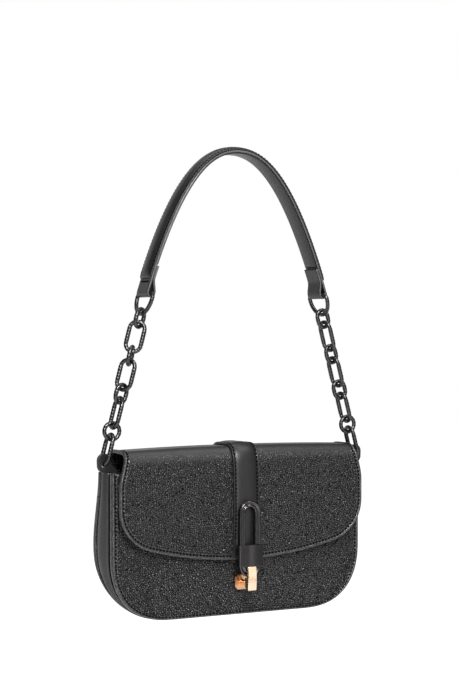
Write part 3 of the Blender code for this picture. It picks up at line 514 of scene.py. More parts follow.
def makeLining():
    # polyester twill, woven: threads 0.5 mm apart, drawn at 0.9 mm so that the weave shows
    made, tree, shader = newMaterial("wovenLining", 0.8, IOR=1.5, Sheen_Weight=0.25, Sheen_Roughness=0.4)
    threadPitch = 0.9
    bandStep = 2 * math.pi / 20  # the wave repeats after this length, at a scale of 1
    place = addNode(tree, "ShaderNodeTexCoord").outputs["Object"]
    waves = []
    for direction in ("X", "Z"):
        wave = addNode(
            tree, "ShaderNodeTexWave",
            {"Vector": place, "Scale": bandStep / (threadPitch * mm), "Distortion": 0.3},
            bands_direction=direction,
        )
        waves.append(wave.outputs["Fac"])
    weave = addNode(tree, "ShaderNodeMath", {0: waves[0], 1: waves[1]}, operation="MULTIPLY").outputs[0]
    colour = addNode(
        tree, "ShaderNodeMix", {0: weave, 6: fromHex("#1d1d20"), 7: fromHex("#3b3b40")}, data_type="RGBA"
    ).outputs[2]
    tree.links.new(colour, shader.inputs["Base Color"])
    bump = addNode(tree, "ShaderNodeBump", {"Height": weave, "Strength": 0.5, "Distance": 0.15 * mm})
    tree.links.new(bump.outputs[0], shader.inputs["Normal"])
    return made


wovenLining = makeLining()
print("materials made")

# the body's shape, the same as the frame's; h is a height over the bag's foot

bag = dict(
    # heights over the foot: the flap's top, the front panel's top and the back panel's top
    foot=boxMm("front_panel")[0][2], height=149.5, mouth=128.5, full=139.5,
    halfWidth=124.8, corner=58.0, cornerPower=2.4, frontY=-10.5, skin=2.0,
    # depth from front to back: thin at the foot, deepest at the belly
    footDepth=13.0, bellyDepth=38.5, bellyHeight=65.5, bellyPower=1.25, mouthDepth=28.0,
    # how far the panels bow out in their middle
    frontCrown=5.5, backCrown=5.0, crownPower=0.9,
)
bag["top"] = bag["foot"] + bag["height"]


def halfWidthAt(h, inset=0.0):
    width, size = bag["halfWidth"] - inset, bag["corner"] - inset
    rise = h - inset
    if rise >= size:
        return width
    power = bag["cornerPower"]
    return width - size + size * max(0.0, 1 - ((size - rise) / size) ** power) ** (1 / power)


def bodyDepth(h):
    if h <= bag["bellyHeight"]:
        rise = math.sin(math.pi / 2 * max(0.0, h) / bag["bellyHeight"]) ** bag["bellyPower"]
        return bag["footDepth"] + (bag["bellyDepth"] - bag["footDepth"]) * rise
    toMouth = smoothStep(bag["bellyHeight"], bag["mouth"], h)
    return bag["bellyDepth"] + (bag["mouthDepth"] - bag["bellyDepth"]) * toMouth


def crown(x, h, height, amount):
    a = min(1.0, abs(x) / max(1.0, halfWidthAt(h)))
    upright = math.sin(math.pi * min(1.0, max(0.0, h / height)) ** bag["crownPower"])
    return amount * (1 - a * a) * max(0.0, upright)


def frontPoint(x, h, lift=0.0):
    return (x, bag["frontY"] - crown(x, h, bag["mouth"], bag["frontCrown"]) - lift, bag["foot"] + h)


def backPoint(x, h, lift=0.0):
    y = bag["frontY"] + bodyDepth(h) + crown(x, h, bag["full"], bag["backCrown"]) + lift
    return (x, y, bag["foot"] + h)


def bodyOutline(inset=0.0, topHeight=bag["mouth"]):
    # left half, from the top down to the middle of the foot
    width, size = bag["halfWidth"] - inset, bag["corner"] - inset
    half = [(-width, topHeight), (-width, (topHeight + bag["corner"]) / 2)]
    for i in range(25):
        turn = math.pi / 2 * i / 24
        x = width - size + size * math.cos(turn) ** (2 / bag["cornerPower"])
        h = inset + size - size * math.sin(turn) ** (2 / bag["cornerPower"])
        half.append((-x, h))
    half.append((0.0, inset))
    return mirrored(half)


def panelGrid(surface, inset, heights, near, far, widthAt=None, columns=60, ripple=0.0):
    # a sheet between two heights over a surface; a ripple gives it slack folds about 30 mm wide
    sheets = []
    for lift in (near, far):
        rows = []
        for h in heights:
            width = widthAt(h) if widthAt else halfWidthAt(h, inset)
            row = []
            for i in range(columns + 1):
                x = width * math.sin(math.pi / 2 * (2 * i / columns - 1))
                wave = ripple * noise.noise(Vector((x / 34, h / 26, 7.0))) if ripple else 0.0
                row.append(surface(x, h, lift + wave))
            rows.append(row)
        sheets.append(rows)
    return sheetPair(*sheets)


def cornerHeights(inset, top, rows=26):
    size = bag["corner"] - inset
    turns = [math.pi / 2 * i / 20 for i in range(21)]
    heights = [inset + size * (1 - math.cos(turn) ** (2 / bag["cornerPower"])) for turn in turns]
    return heights + [heights[-1] + (top - heights[-1]) * i / rows for i in range(1, rows + 1)]


# body: two panels with rolled, stitched rims, a gusset with a gap behind the front rim, and a lining

rim = dict(
    inset=4.9, stitchInset=3.8, footShare=0.6, stitchLift=-0.1, lowerEnd=60.0,
    # a roll at the edge, then a groove where the stitches lie, then the panel; the last points turn under
    section=[(5.6, -0.06), (5.1, 0.05), (4.8, 0.0), (4.5, -0.2), (4.1, -0.35), (3.5, -0.35), (3.15, -0.1),
             (2.9, 0.2), (2.4, 0.58), (1.7, 0.7), (1.0, 0.5), (0.4, 0.05), (0.05, -0.7), (0.0, -2.0),
             (0.0, -3.2), (0.25, -3.9), (0.9, -4.25), (2.5, -4.3), (4.0, -4.3), (4.4, -2.6), (5.4, -1.9)],
)

for side, surface in (("front", frontPoint), ("back", backPoint)):
    outline = resample(bodyOutline(), seam["step"])
    rings = bandRings(outline, rim["section"], surface, 1, rim["stitchInset"], rim["footShare"])
    makePiece(side + "Rim", *tube(rings), turnedCowhide, "bag", (side + "_piping",))
    stitches(
        side + "RimStitches", outline, rim["stitchInset"], surface, 1, "bag", lift=rim["stitchLift"],
        footShare=rim["footShare"],
    )


def lowered(surface):
    # the panels reach down to the narrow rim along the foot
    drop = rim["inset"] * (1 - rim["footShare"])

    def moved(x, h, lift=0.0):
        return surface(x, h - drop * (1 - smoothStep(rim["inset"], rim["lowerEnd"], h)), lift)

    return moved


points, faces = panelGrid(
    lowered(frontPoint), rim["inset"], cornerHeights(rim["inset"], bag["mouth"]), 0.0, -bag["skin"]
)
makePiece("frontSkin", points, faces, pebbledCowhide, "bag", ("front_panel",))

# the back panel spreads over its rim near the mouth and narrows again towards the hinge
backTop = dict(spread=7.6, spreadFrom=12.0, spreadTo=2.0, widest=124.4, narrower=10.4, rows=34)


def backWidth(h):
    low, high = bag["mouth"] - backTop["spreadFrom"], bag["mouth"] - backTop["spreadTo"]
    spread = halfWidthAt(h, rim["inset"]) + backTop["spread"] * smoothStep(low, high, h)
    return min(spread, backTop["widest"] - backTop["narrower"] * smoothStep(high, bag["full"], h))


backHeights = cornerHeights(rim["inset"], bag["full"], backTop["rows"])
points, faces = panelGrid(lowered(backPoint), rim["inset"], backHeights, 0.0, -bag["skin"], backWidth)
makePiece("backSkin", points, faces, pebbledCowhide, "bag", ("back_panel",))

# turned-over top edge of the front panel, a flat roll
topRoll = dict(endInset=4.0, drop=1.4, sunk=1.0, tall=1.5, thick=1.35, steps=60, sides=8)
topEdge = []
for i in range(topRoll["steps"] + 1):
    x = (bag["halfWidth"] - topRoll["endInset"]) * (2 * i / topRoll["steps"] - 1)
    ring = []
    for turn in around(topRoll["sides"]):
        h = bag["mouth"] - topRoll["drop"] + topRoll["tall"] * math.sin(turn)
        ring.append(frontPoint(x, h, topRoll["thick"] * math.cos(turn) - topRoll["sunk"]))
    topEdge.append(ring)
makePiece("frontTopEdge", *tube(topEdge), turnedCowhide, "bag")

gusset = dict(
    # depth behind the front face, and inset from the body's edge: a deep gap, then a turned edge
    front=[(4.35, 3.7), (6.6, 3.95), (8.6, 3.9), (9.6, 3.5), (9.7, 2.8), (9.1, 2.1), (8.7, 1.5), (8.7, 1.05),
           (9.1, 0.8), (9.8, 0.75)],
    # where the bag is thin, the front is squeezed towards its first depth
    frontStart=4.3, thin=8.6, thinOver=12.5, leastSqueeze=0.25,
    # share of the way to the back rim, and inset: a soft bulge
    bulge=((0.08, 0.75), (0.2, 0.4), (0.34, 0.0), (0.48, -0.35), (0.6, -0.45), (0.7, -0.3), (0.8, 0.2),
           (0.9, 1.05)),
    # the same for the edge under the back rim, then the hidden inner side
    backDepth=4.35, backInsets=(2.1, 3.9), innerInset=4.8, innerBack=4.5, innerFront=4.4,
    topDrop=0.3, step=1.8,
)


def gussetSection(h):
    # Y and inset of the gusset's outline at a height
    depth = bodyDepth(h)
    squeeze = min(1.0, max(gusset["leastSqueeze"], (depth - gusset["thin"]) / gusset["thinOver"]))
    front, back, start = bag["frontY"], bag["frontY"] + depth, gusset["frontStart"]
    section = [(front + start + (y - start) * squeeze, inset) for y, inset in gusset["front"]]
    low, high = section[-1][0], back - gusset["backDepth"]
    section += [(low + (high - low) * share, inset) for share, inset in gusset["bulge"]]
    section += [(high, inset) for inset in gusset["backInsets"]]
    for y in (back - gusset["innerBack"], (front + back) / 2, front + gusset["innerFront"]):
        section.append((y, gusset["innerInset"]))
    return section


outline = resample(bodyOutline(0.0, bag["mouth"] - gusset["topDrop"]), gusset["step"])
rings = []
for place, inward in zip(outline, sideways(outline, 1)):
    ring = []
    for y, inset in gussetSection(place[1]):
        at = place + inward * inset
        ring.append((at[0], y, bag["foot"] + at[1]))
    rings.append(ring)
makePiece("gussetStrip", *tube(rings), platedCalf, "bag", ("gusset",))

# turned-over top edge of the gusset; hidden is how many of its section's last points it leaves out
gussetRoll = dict(drop=0.6, sunk=1.15, thick=1.3, tall=1.25, sides=10, hidden=5)
for side, sign in (("left", -1), ("right", 1)):
    h = bag["mouth"] - gussetRoll["drop"]
    section = gussetSection(h)[: -gussetRoll["hidden"]]
    rings = []
    for i, (y, inset) in enumerate(section):
        y0, i0 = section[max(i - 1, 0)]
        y1, i1 = section[min(i + 1, len(section) - 1)]
        size = math.hypot(y1 - y0, i1 - i0)
        ny, ni = -(i1 - i0) / size, (y1 - y0) / size
        ring = []
        for turn in around(gussetRoll["sides"]):
            inward = gussetRoll["sunk"] + gussetRoll["thick"] * math.cos(turn)
            x = sign * (halfWidthAt(h) - inset - ni * inward)
            ring.append((x, y + ny * inward, bag["foot"] + h + gussetRoll["tall"] * math.sin(turn)))
        rings.append(ring)
    makePiece(side + "GussetTop", *tube(rings), turnedCowhide, "bag")

# lining, slack between the panels
lining = dict(inset=7.5, topDrop=1.0, near=-2.4, far=-3.2, ripple=0.5)
liningHeights = cornerHeights(lining["inset"], bag["mouth"] - lining["topDrop"])
for side, surface in (("front", frontPoint), ("back", backPoint)):
    points, faces = panelGrid(
        surface, lining["inset"], liningHeights, lining["near"], lining["far"], ripple=lining["ripple"]
    )
    piece = makePiece(side + "Lining", points, faces, wovenLining, "bag", (side + "_lining",))
print("body made")

# flap: one skin from the back, over the mouth and down the front

flap = dict(
    halfWidth=122.0, topHalfWidth=116.0, shoulder=34.0, drop=100.0, bottomRise=20.5,
    cornerStart=90.0, cornerRise=29.0, cornerPower=2.3, splitDrop=13.0, inset=4.5, thickness=2.4,
    # a slight bow over the front, and a sag of the top's ends that fades out below it
    crown=1.2, crownPower=0.8, topSag=2.2, sagDown=9.7, sagOver=10.0,
    # the fold over the mouth: half its flat top, then a quarter of an ellipse on either side
    flatY=9.0, frontRadius=(11.5, 15.0), backY=17.5, backDrop=9.7,
    # the tail below the hinge lies on the back panel
    tail=15.0, tailLift=1.9, tailLiftFrom=-6.0, tailLiftTo=2.0, tailSettle=3.0, tailFloor=-1.9, tailSkin=1.6,
    # below the top, where the hide starts and ends to be stretched
    stretchFrom=15.0, stretchTo=2.0,
    section=[(5.2, -0.06), (4.7, 0.05), (4.4, 0.0), (4.1, -0.2), (3.7, -0.35), (3.1, -0.35), (2.75, -0.1),
             (2.5, 0.25), (2.1, 0.65), (1.5, 0.85), (0.9, 0.7), (0.35, 0.2), (0.0, -0.5), (0.0, -1.5),
             (0.3, -2.2), (1.0, -2.6), (3.0, -2.65), (4.6, -2.5), (5.0, -2.3)],
    stitchInset=3.4, stitchLift=0.1, tailStitchLift=-0.1,
    liningInset=4.2, liningNear=-2.7, liningFar=-3.5, liningRipple=0.25,
)
foldBlend = ("flap_over", "flap_down", (0, -18, bag["top"] - 5), (0, -20.5, bag["top"] - 23))
hingeBlend = ("bag", "flap_over", (0, 18, bag["top"] - 16), (0, 14, bag["top"] - 3))


def arcTable(radiusY, radiusZ, sign):
    # line of a fold from the flat top to the upright, as length, y, z and the outward direction
    turns = np.linspace(0, math.pi / 2, 200)
    y = sign * (flap["flatY"] + radiusY * np.sin(turns))
    z = bag["top"] - radiusZ + radiusZ * np.cos(turns)
    lengths = flap["flatY"] + np.concatenate([[0], np.cumsum(np.hypot(np.diff(y), np.diff(z)))])
    ny, nz = sign * radiusZ * np.sin(turns), radiusY * np.cos(turns)
    size = np.hypot(ny, nz)
    return lengths, y, z, ny / size, nz / size


frontArc = arcTable(*flap["frontRadius"], -1)
backArc = arcTable(flap["backY"] - flap["flatY"], flap["backDrop"], 1)


def flapWidth(z):
    wider = flap["halfWidth"] - flap["topHalfWidth"]
    return flap["topHalfWidth"] + wider * smoothStep(0, flap["shoulder"], bag["top"] - z)


def lineAt(arc, s):
    # y, z, ny, nz at a length from the middle of the top; past the arc the line goes straight down
    sign = 1 if arc is backArc else -1
    if s <= flap["flatY"]:
        return sign * s, bag["top"], 0.0, 1.0
    if s >= arc[0][-1]:
        return arc[1][-1], arc[2][-1] - (s - arc[0][-1]), float(sign), 0.0
    return tuple(float(np.interp(s, arc[0], arc[k])) for k in (1, 2, 3, 4))


def topSag(x, z):
    rise = min(1.0, max(0.0, (z - bag["top"] + flap["sagDown"]) / flap["sagOver"]))
    return flap["topSag"] * rise * (x / flap["topHalfWidth"]) ** 2


def flapBulge(x, z):
    down = min(1.0, max(0.0, (bag["top"] - flap["splitDrop"] - z) / (flap["drop"] - flap["splitDrop"])))
    middle = 1 - min(1.0, abs(x) / flap["halfWidth"]) ** 2
    return flap["crown"] * middle * math.sin(math.pi * down ** flap["crownPower"])


def flapPoint(x, s, lift=0.0):
    y, z, ny, nz = lineAt(frontArc, s)
    return (x, y + ny * lift - flapBulge(x, z), z + nz * lift - topSag(x, z))


def flapBackPoint(x, s, lift=0.0):
    # past the hinge the skin lies on the back panel
    y, z, ny, nz = lineAt(backArc, s)
    past = s - backArc[0][-1]
    if past > 0:
        on = backPoint(x, z - bag["foot"], 0.0)[1]
        y = flap["backY"] + (on - flap["backY"]) * smoothStep(0, flap["tailSettle"], past)
    lift += flap["tailLift"] * smoothStep(flap["tailLiftFrom"], flap["tailLiftTo"], past)
    return (x, y + ny * lift, z + nz * lift - topSag(x, z))


def markFold(piece):
    # how far each point lies on the fold over the mouth, where the hide is stretched
    kept = piece.data.attributes.new("fold", "FLOAT", "POINT")
    low, high = bag["top"] - flap["stretchFrom"], bag["top"] - flap["stretchTo"]
    kept.data.foreach_set("value", [smoothStep(low, high, v.co.z / mm) for v in piece.data.vertices])


def flapHalfOutline():
    # left half in unrolled length, from the top's middle to the middle of the front edge
    half = []
    straightEnd = bag["top"] - flap["drop"] + flap["bottomRise"] + flap["cornerRise"]
    sStraight = frontArc[0][-1] + (frontArc[2][-1] - straightEnd)
    for i in range(61):
        s = sStraight * i / 60
        half.append((-flapWidth(lineAt(frontArc, s)[1]), s))
    power = flap["cornerPower"]
    span = flap["halfWidth"] - flap["cornerStart"]
    for i in range(1, 41):
        turn = math.pi / 2 * (1 - i / 40)
        corner = math.sin(turn) ** (2 / power)
        x = flap["cornerStart"] + span * corner
        z = straightEnd - flap["cornerRise"] * math.cos(turn) ** (2 / power)
        z += flap["bottomRise"] * ((x / flap["halfWidth"]) ** 2 - 1)
        half.append((-x, frontArc[0][-1] + frontArc[2][-1] - z))
    for i in range(1, 31):
        x = flap["cornerStart"] * (1 - i / 30)
        z = bag["top"] - flap["drop"] + flap["bottomRise"] * (x / flap["halfWidth"]) ** 2
        half.append((-x, frontArc[0][-1] + frontArc[2][-1] - z))
    return half


flapOutline = resample(mirrored(flapHalfOutline()), seam["step"])
rings = bandRings(flapOutline, flap["section"], flapPoint, -1, flap["stitchInset"])
makePiece("flapEdge", *tube(rings), turnedCowhide, foldBlend)
stitches(
    "flapStitches", flapOutline, flap["stitchInset"], flapPoint, -1, foldBlend, lift=flap["stitchLift"]
)


def insetCurves(inset):
    # the flap's side and foot, drawn in by an inset, as left halves of (x, length)
    line = flapOutline + sideways(flapOutline, -1) * inset
    half = line[line[:, 0] <= 0]
    turn = int(np.argmin(half[:, 0]))
    side, foot = half[: turn + 1], half[turn:]
    return side, foot[np.argsort(foot[:, 0])]


def flapSheet(inset, near, far, ripple=0.0, rows=64, columns=72):
    side, foot = insetCurves(inset)
    full = -foot[0, 0]
    sheets = []
    for lift in (near, far):
        grid = []
        for j in range(rows + 1):
            row = []
            for i in range(columns + 1):
                a = math.sin(math.pi / 2 * (2 * i / columns - 1))
                end = float(np.interp(-abs(a) * full, foot[:, 0], foot[:, 1]))
                s = end * (j / rows)
                width = -float(np.interp(s, side[:, 1], side[:, 0]))
                wave = ripple * noise.noise(Vector((a * 4.1, s / 30, 1.7))) if ripple else 0.0
                row.append(flapPoint(a * width, s, lift + wave))
            grid.append(row)
        sheets.append(grid)
    return sheetPair(*sheets)


points, faces = flapSheet(flap["inset"], 0.0, -flap["thickness"])
markFold(makePiece("flapSkin", points, faces, pebbledCowhide, foldBlend, ("flap_top", "flap_front")))
points, faces = flapSheet(flap["liningInset"], flap["liningNear"], flap["liningFar"], flap["liningRipple"])
piece = makePiece(
    "flapLining", points, faces, wovenLining, foldBlend, ("flap_top_lining", "flap_front_lining")
)

# the flap's back, sewn to the back panel below its hinge
backEnd = backArc[0][-1] + flap["tail"]
backHalf = [(-flapWidth(lineAt(backArc, backEnd * i / 30)[1]), backEnd * i / 30) for i in range(30)]
backHalf += [(-116.5, backEnd - 0.6), (-114.0, backEnd), (-60.0, backEnd), (0.0, backEnd)]
backOutline = resample(mirrored(backHalf), seam["step"])
backSection = [(u, max(v, flap["tailFloor"])) for u, v in flap["section"]]
rings = bandRings(backOutline, backSection, flapBackPoint, -1, flap["stitchInset"])
makePiece("flapBackEdge", *tube(rings), turnedCowhide, hingeBlend)
stitches(
    "flapBackStitches", backOutline, flap["stitchInset"], flapBackPoint, -1, hingeBlend,
    lift=flap["tailStitchLift"],
)
sheets = []
for lift in (0.0, -flap["tailSkin"]):
    grid = []
    for j in range(31):
        s = (backEnd - flap["inset"]) * j / 30
        width = flapWidth(lineAt(backArc, s)[1]) - flap["inset"]
        xs = [width * math.sin(math.pi / 2 * (2 * i / 60 - 1)) for i in range(61)]
        grid.append([flapBackPoint(x, s, lift) for x in xs])
    sheets.append(grid)
markFold(makePiece("flapBackSkin", *sheetPair(*sheets), pebbledCowhide, hingeBlend))
print("flap made")

# centre strap: padded middle, flat stitched margins

strap = dict(
    end=frontArc[0][-1] + frontArc[2][-1] - (bag["top"] - 97.0), backEnd=backArc[0][-1] - 2.5, backStart=0.25,
    # x and height over the flap, from the left edge to the middle: a margin, the stitch groove, the padding
    section=[(-12.4, 0.1), (-12.95, 0.5), (-13.0, 1.3), (-12.7, 1.95), (-12.2, 2.2), (-11.7, 1.95),
             (-11.4, 1.6), (-11.1, 1.45), (-10.5, 1.45), (-10.2, 1.6), (-9.6, 1.95), (-8.4, 2.4),
             (-6.2, 2.85), (-3.3, 3.15), (0.0, 3.25)],
    underside=[(6.0, 0.05), (-6.0, 0.05)], underHeight=0.2,
    # each end is pressed flatter over its last few millimetres
    pressed=0.45, pressedOver=2.0, backPressed=0.6, backPressedOver=3.0,
    stitchX=10.8, stitchStart=1.0, stitchEnd=2.0, stitchLift=1.75, backStitchLift=1.6, underLoop=14.0,
)
strapSection = mirrored(strap["section"]) + strap["underside"]


def strapRings(surface, start, end, count, pressed, over):
    rings = []
    for i in range(count + 1):
        s = start + (end - start) * i / count
        flat = 1.0 - pressed * smoothStep(end - over, end, s)
        rings.append([surface(x, s, v * flat if v > strap["underHeight"] else v) for x, v in strapSection])
    return rings


def underLoop(x, s):
    return s > strap["end"] - strap["underLoop"]


frontRings = strapRings(flapPoint, 0.0, strap["end"], 90, strap["pressed"], strap["pressedOver"])
backRings = strapRings(
    flapBackPoint, strap["backStart"], strap["backEnd"], 24, strap["backPressed"], strap["backPressedOver"]
)
piece = makePiece("strapFront", *tube(frontRings), platedCalf, foldBlend, ("strap_front",))
piece = makePiece("strapBack", *tube(backRings), platedCalf, "flap_over", ("strap_top",))
for side, x in (("Left", -strap["stitchX"]), ("Right", strap["stitchX"])):
    path = np.array([(x, strap["stitchStart"]), (x, strap["end"] - strap["stitchEnd"])])
    stitches(
        "strapStitches" + side, path, 0.0, flapPoint, 1, foldBlend, lift=strap["stitchLift"], skip=underLoop
    )
    path = np.array([(x, strap["stitchStart"]), (x, strap["backEnd"] - strap["stitchEnd"])])
    stitches(
        "strapBackStitches" + side, path, 0.0, flapBackPoint, 1, "flap_over", lift=strap["backStitchLift"]
    )
print("strap made")

# clasp: ridged loop, plate, clip and base

clasp = dict(
    loopRadius=7.7, loopLength=61.5, loopTop=bag["top"] - 50.5, steps=24, straightSteps=12,
    # two ridges with a groove between them on the front, a flat back; as (across, forward)
    bar=[(-2.8, -0.6), (-2.8, 0.9), (-2.65, 1.6), (-2.2, 2.1), (-1.7, 2.2), (-1.1, 1.9), (-0.6, 1.15),
         (0.0, 0.85), (0.6, 1.15), (1.1, 1.9), (1.7, 2.2), (2.2, 2.1), (2.65, 1.6), (2.8, 0.9), (2.8, -0.6),
         (2.75, -1.7), (2.3, -2.15), (0.0, -2.2), (-2.3, -2.15), (-2.75, -1.7)],
    barHalf=2.8, gap=0.3,
)
loopLow, loopHigh = boxMm("clasp_loop")
loopY = (loopLow[1] + loopHigh[1]) / 2
plateLow, plateHigh = boxMm("clasp_plate")


def loopLine(radius, length):
    # closed line of a long loop, top at 0, as (x, down)
    points = []
    straight = length - 2 * radius
    steps, straightSteps = clasp["steps"], clasp["straightSteps"]
    for i in range(steps + 1):
        turn = math.pi * i / steps
        points.append((radius * math.cos(turn), radius - radius * math.sin(turn)))
    for i in range(1, straightSteps):
        points.append((-radius, radius + straight * i / straightSteps))
    for i in range(steps + 1):
        turn = math.pi * i / steps
        points.append((-radius * math.cos(turn), length - radius + radius * math.sin(turn)))
    for i in range(1, straightSteps):
        points.append((radius, length - radius - straight * i / straightSteps))
    return points


line = loopLine(clasp["loopRadius"], clasp["loopLength"])
rings = []
for i, (x, down) in enumerate(line):
    (x0, d0), (x1, d1) = line[i - 1], line[(i + 1) % len(line)]
    size = math.hypot(x1 - x0, d1 - d0)
    outX, outD = (d0 - d1) / size, (x1 - x0) / size
    ring = []
    for across, forward in clasp["bar"]:
        ring.append((x - outX * across, loopY - forward, clasp["loopTop"] - down + outD * across))
    rings.append(ring)
makePiece("loopBar", *tube(rings, loop=True), polishedZinc, "flap_down", ("clasp_loop",))


def roundEdges(piece, width, segments, angle):
    edge = piece.modifiers.new("edge", "BEVEL")
    edge.width = width * mm
    edge.segments = segments
    edge.limit_method = "ANGLE"
    edge.angle_limit = math.radians(angle)
    edge.harden_normals = True


def prism(outline, axis, low, high):
    # a flat outline, given a thickness along the axis with that number
    ends = [[(*p[:axis], end, *p[axis:]) for p in outline] for end in (low, high)]
    return ends[0] + ends[1], ringFaces(2, len(outline))


# the plate's back has a channel for each leg of the loop, from legIn to legOut
plate = dict(
    half=12.0, legIn=4.6, legOut=10.85, legRoom=0.25, sharp=40, edge=0.3, edgeSteps=3, edgeAngle=35,
    # the face's rounded side: inset and depth
    side=((0.0, 1.1), (0.35, 0.4), (1.1, 0.0)),
    # a shallow frame line on the bare face: its reach, its place below the plate's top, and its section
    frameHalf=9.4, frameTop=1.7, frameFoot=16.9,
    line=((0.22, -0.1), (0.12, 0.1), (-0.12, 0.1), (-0.22, -0.1)),
)
half, face, back = plate["half"], plateLow[1], plateHigh[1]
legIn, legOut, channel = plate["legIn"], plate["legOut"], loopLow[1] - plate["legRoom"]
section = [(legIn, back), (legIn, channel), (legOut, channel), (legOut, back)]
section += [(half, back)] + [(half - inset, face + depth) for inset, depth in plate["side"]]
section += [(-x, y) for x, y in section[::-1]]
piece = makePiece(
    "claspPlate", *prism(section, 2, plateLow[2], plateHigh[2]), blackZinc, "flap_down", ("clasp_plate",),
    sharp=plate["sharp"],
)
roundEdges(piece, plate["edge"], plate["edgeSteps"], plate["edgeAngle"])
rings = []
for across, down in ((-1, -1), (1, -1), (1, 1), (-1, 1)):
    x, d = plate["frameHalf"] * across, plate["frameTop"] if down < 0 else plate["frameFoot"]
    ring = []
    for grow, forward in plate["line"]:
        ring.append((x + across * grow, face - forward, plateHigh[2] - d - down * grow))
    rings.append(ring)
makePiece("plateFrame", *tube(rings, loop=True), blackZinc, "flap_down", sharp=30)

# clip: side view as (y, z), with a bowed face, a lip in front of the loop's foot and a block below it
clip = dict(half=4.3, lip=2.8, bow=0.9, bowPower=0.9, steps=16, footRise=2.4, lipRise=2.3, lipThin=0.8,
            sharp=40, edge=0.55, edgeSteps=4, edgeAngle=35)
clipLow, clipHigh = boxMm("clasp_clip")
barZ = clasp["loopTop"] - clasp["loopLength"]
lipBack = loopLow[1] - clasp["gap"]
underZ = barZ - clasp["barHalf"] - clasp["gap"]
sideView = []
for i in range(clip["steps"] + 1):
    share = i / clip["steps"]
    y = lipBack - clip["lip"] - clip["bow"] * math.sin(math.pi * share ** clip["bowPower"])
    sideView.append((y, clipHigh[2] + (clipLow[2] - clipHigh[2]) * share))
sideView += [(clipHigh[1], clipLow[2] + clip["footRise"]), (clipHigh[1], underZ), (lipBack, underZ)]
sideView.append((lipBack, barZ))
sideView += [(lipBack - clip["lipThin"], barZ + clip["lipRise"]), (lipBack - clip["lipThin"], clipHigh[2])]
piece = makePiece(
    "clipHook", *prism(sideView, 0, -clip["half"], clip["half"]), roseGold, "flap_down", ("clasp_clip",),
    sharp=clip["sharp"],
)
roundEdges(piece, clip["edge"], clip["edgeSteps"], clip["edgeAngle"])

# these four keep the frame's own shapes
keptShapes = dict(
    clip_backplate=turnedSteel, clasp_rivet_upper=turnedSteel, clasp_rivet_lower=turnedSteel,
    # the base's plating carries the painted shade of the clip
    clip_base=shadedRoseGold,
)
for nodeName, plating in keptShapes.items():
    node = frame["nodes"][nodeName]
    node.data.materials.clear()
    node.data.materials.append(plating)
print("clasp made")

# handle: band folded round each ring, padded cover, lining

handle = dict(
    # the arch: half its span, its rise, and how its curve tightens from the top to the ends
    halfSpan=90.0, rise=124.6, apex=2.2, power=2.2, spacing=0.72,
    # the band's ends turn round the rings' bars and come back inside the arch
    band=1.8, foldRadius=3.1, returnLength=24.0, returnTaper=13.0, margin=12.0, gap=0.3,
    archSteps=40, foldSteps=16, returnSteps=18,
    # the band's section as (across, height), and the painted edge on either side of it
    section=[(-10.2, -0.9), (-10.45, -0.5), (-10.5, 0.0), (-10.45, 0.5), (-10.2, 0.9), (-9, 0.92), (0, 0.92),
             (9, 0.92), (10.2, 0.9), (10.45, 0.5), (10.5, 0.0), (10.45, -0.5), (10.2, -0.9), (9, -0.92),
             (0, -0.92), (-9, -0.92)],
    edgeY=10.25, edgeTall=0.88, edgeThick=0.42, edgeSides=10,
    # half of the cover's section, from its edge to the crown: a flat margin, a stitch groove, the padding
    cover=[(10.3, 0.05), (10.5, 0.5), (10.4, 1.0), (10.0, 1.35), (9.5, 1.3), (9.25, 1.1), (9.05, 1.0),
           (8.5, 1.0), (8.3, 1.15), (7.9, 1.5), (6.8, 2.35), (5.4, 2.95), (3.0, 3.35), (0.0, 3.45)],
    coverUnder=[(-5, 0.02), (5, 0.02)], flatHeight=1.25, padFrom=-1.0, padTo=9.0,
    endShare=0.35, endFrom=-0.5, endTo=1.5, coverSteps=70,
    stitchY=8.8, stitchEnd=2.0, stitchLift=1.2,
    # a bar of stitches across the band beyond each end of the cover
    barY=8.2, barBeyond=3.0, barLift=-0.25, barPitch=2.9, barStitch=2.1,
    lining=[(9.3, -2.15), (9.3, -3.0), (8.8, -3.15), (0, -3.2), (-8.8, -3.15), (-9.3, -3.0), (-9.3, -2.15)],
    liningShort=1.2, liningSteps=40,
)


def archPoint(share):
    across = math.copysign(abs(share) ** handle["spacing"], share)
    fall = handle["rise"] * abs(across) ** handle["power"]
    return Vector((handle["halfSpan"] * across, 0.0, handle["apex"] - fall))


def archNormal(share):
    low, high = max(-1.0, share - 0.002), min(1.0, share + 0.002)
    along = (archPoint(high) - archPoint(low)).normalized()
    return Vector((-along.z, 0.0, along.x))


archShares = np.linspace(0, 1, 400)
archPlaces = [archPoint(t) for t in archShares]
archLengths = np.concatenate([[0], np.cumsum([(b - a).length for a, b in zip(archPlaces, archPlaces[1:])])])


def shareAboveEnd(length):
    return float(np.interp(archLengths[-1] - length, archLengths, archShares))


def shareAtLength(length):
    return math.copysign(float(np.interp(abs(length), archLengths, archShares)), length)


endNormal = archNormal(1.0)
endDown = Vector((endNormal.z, 0.0, -endNormal.x))
barRight = archPoint(1.0) - endNormal * handle["foldRadius"]


def handlePoint(across, length, lift=0.0):
    # across is Y, length is measured along the arch from its top
    share = shareAtLength(length)
    at = archPoint(share) + archNormal(share) * (handle["band"] / 2 + handle["gap"] + lift)
    return (at.x, across, at.z)


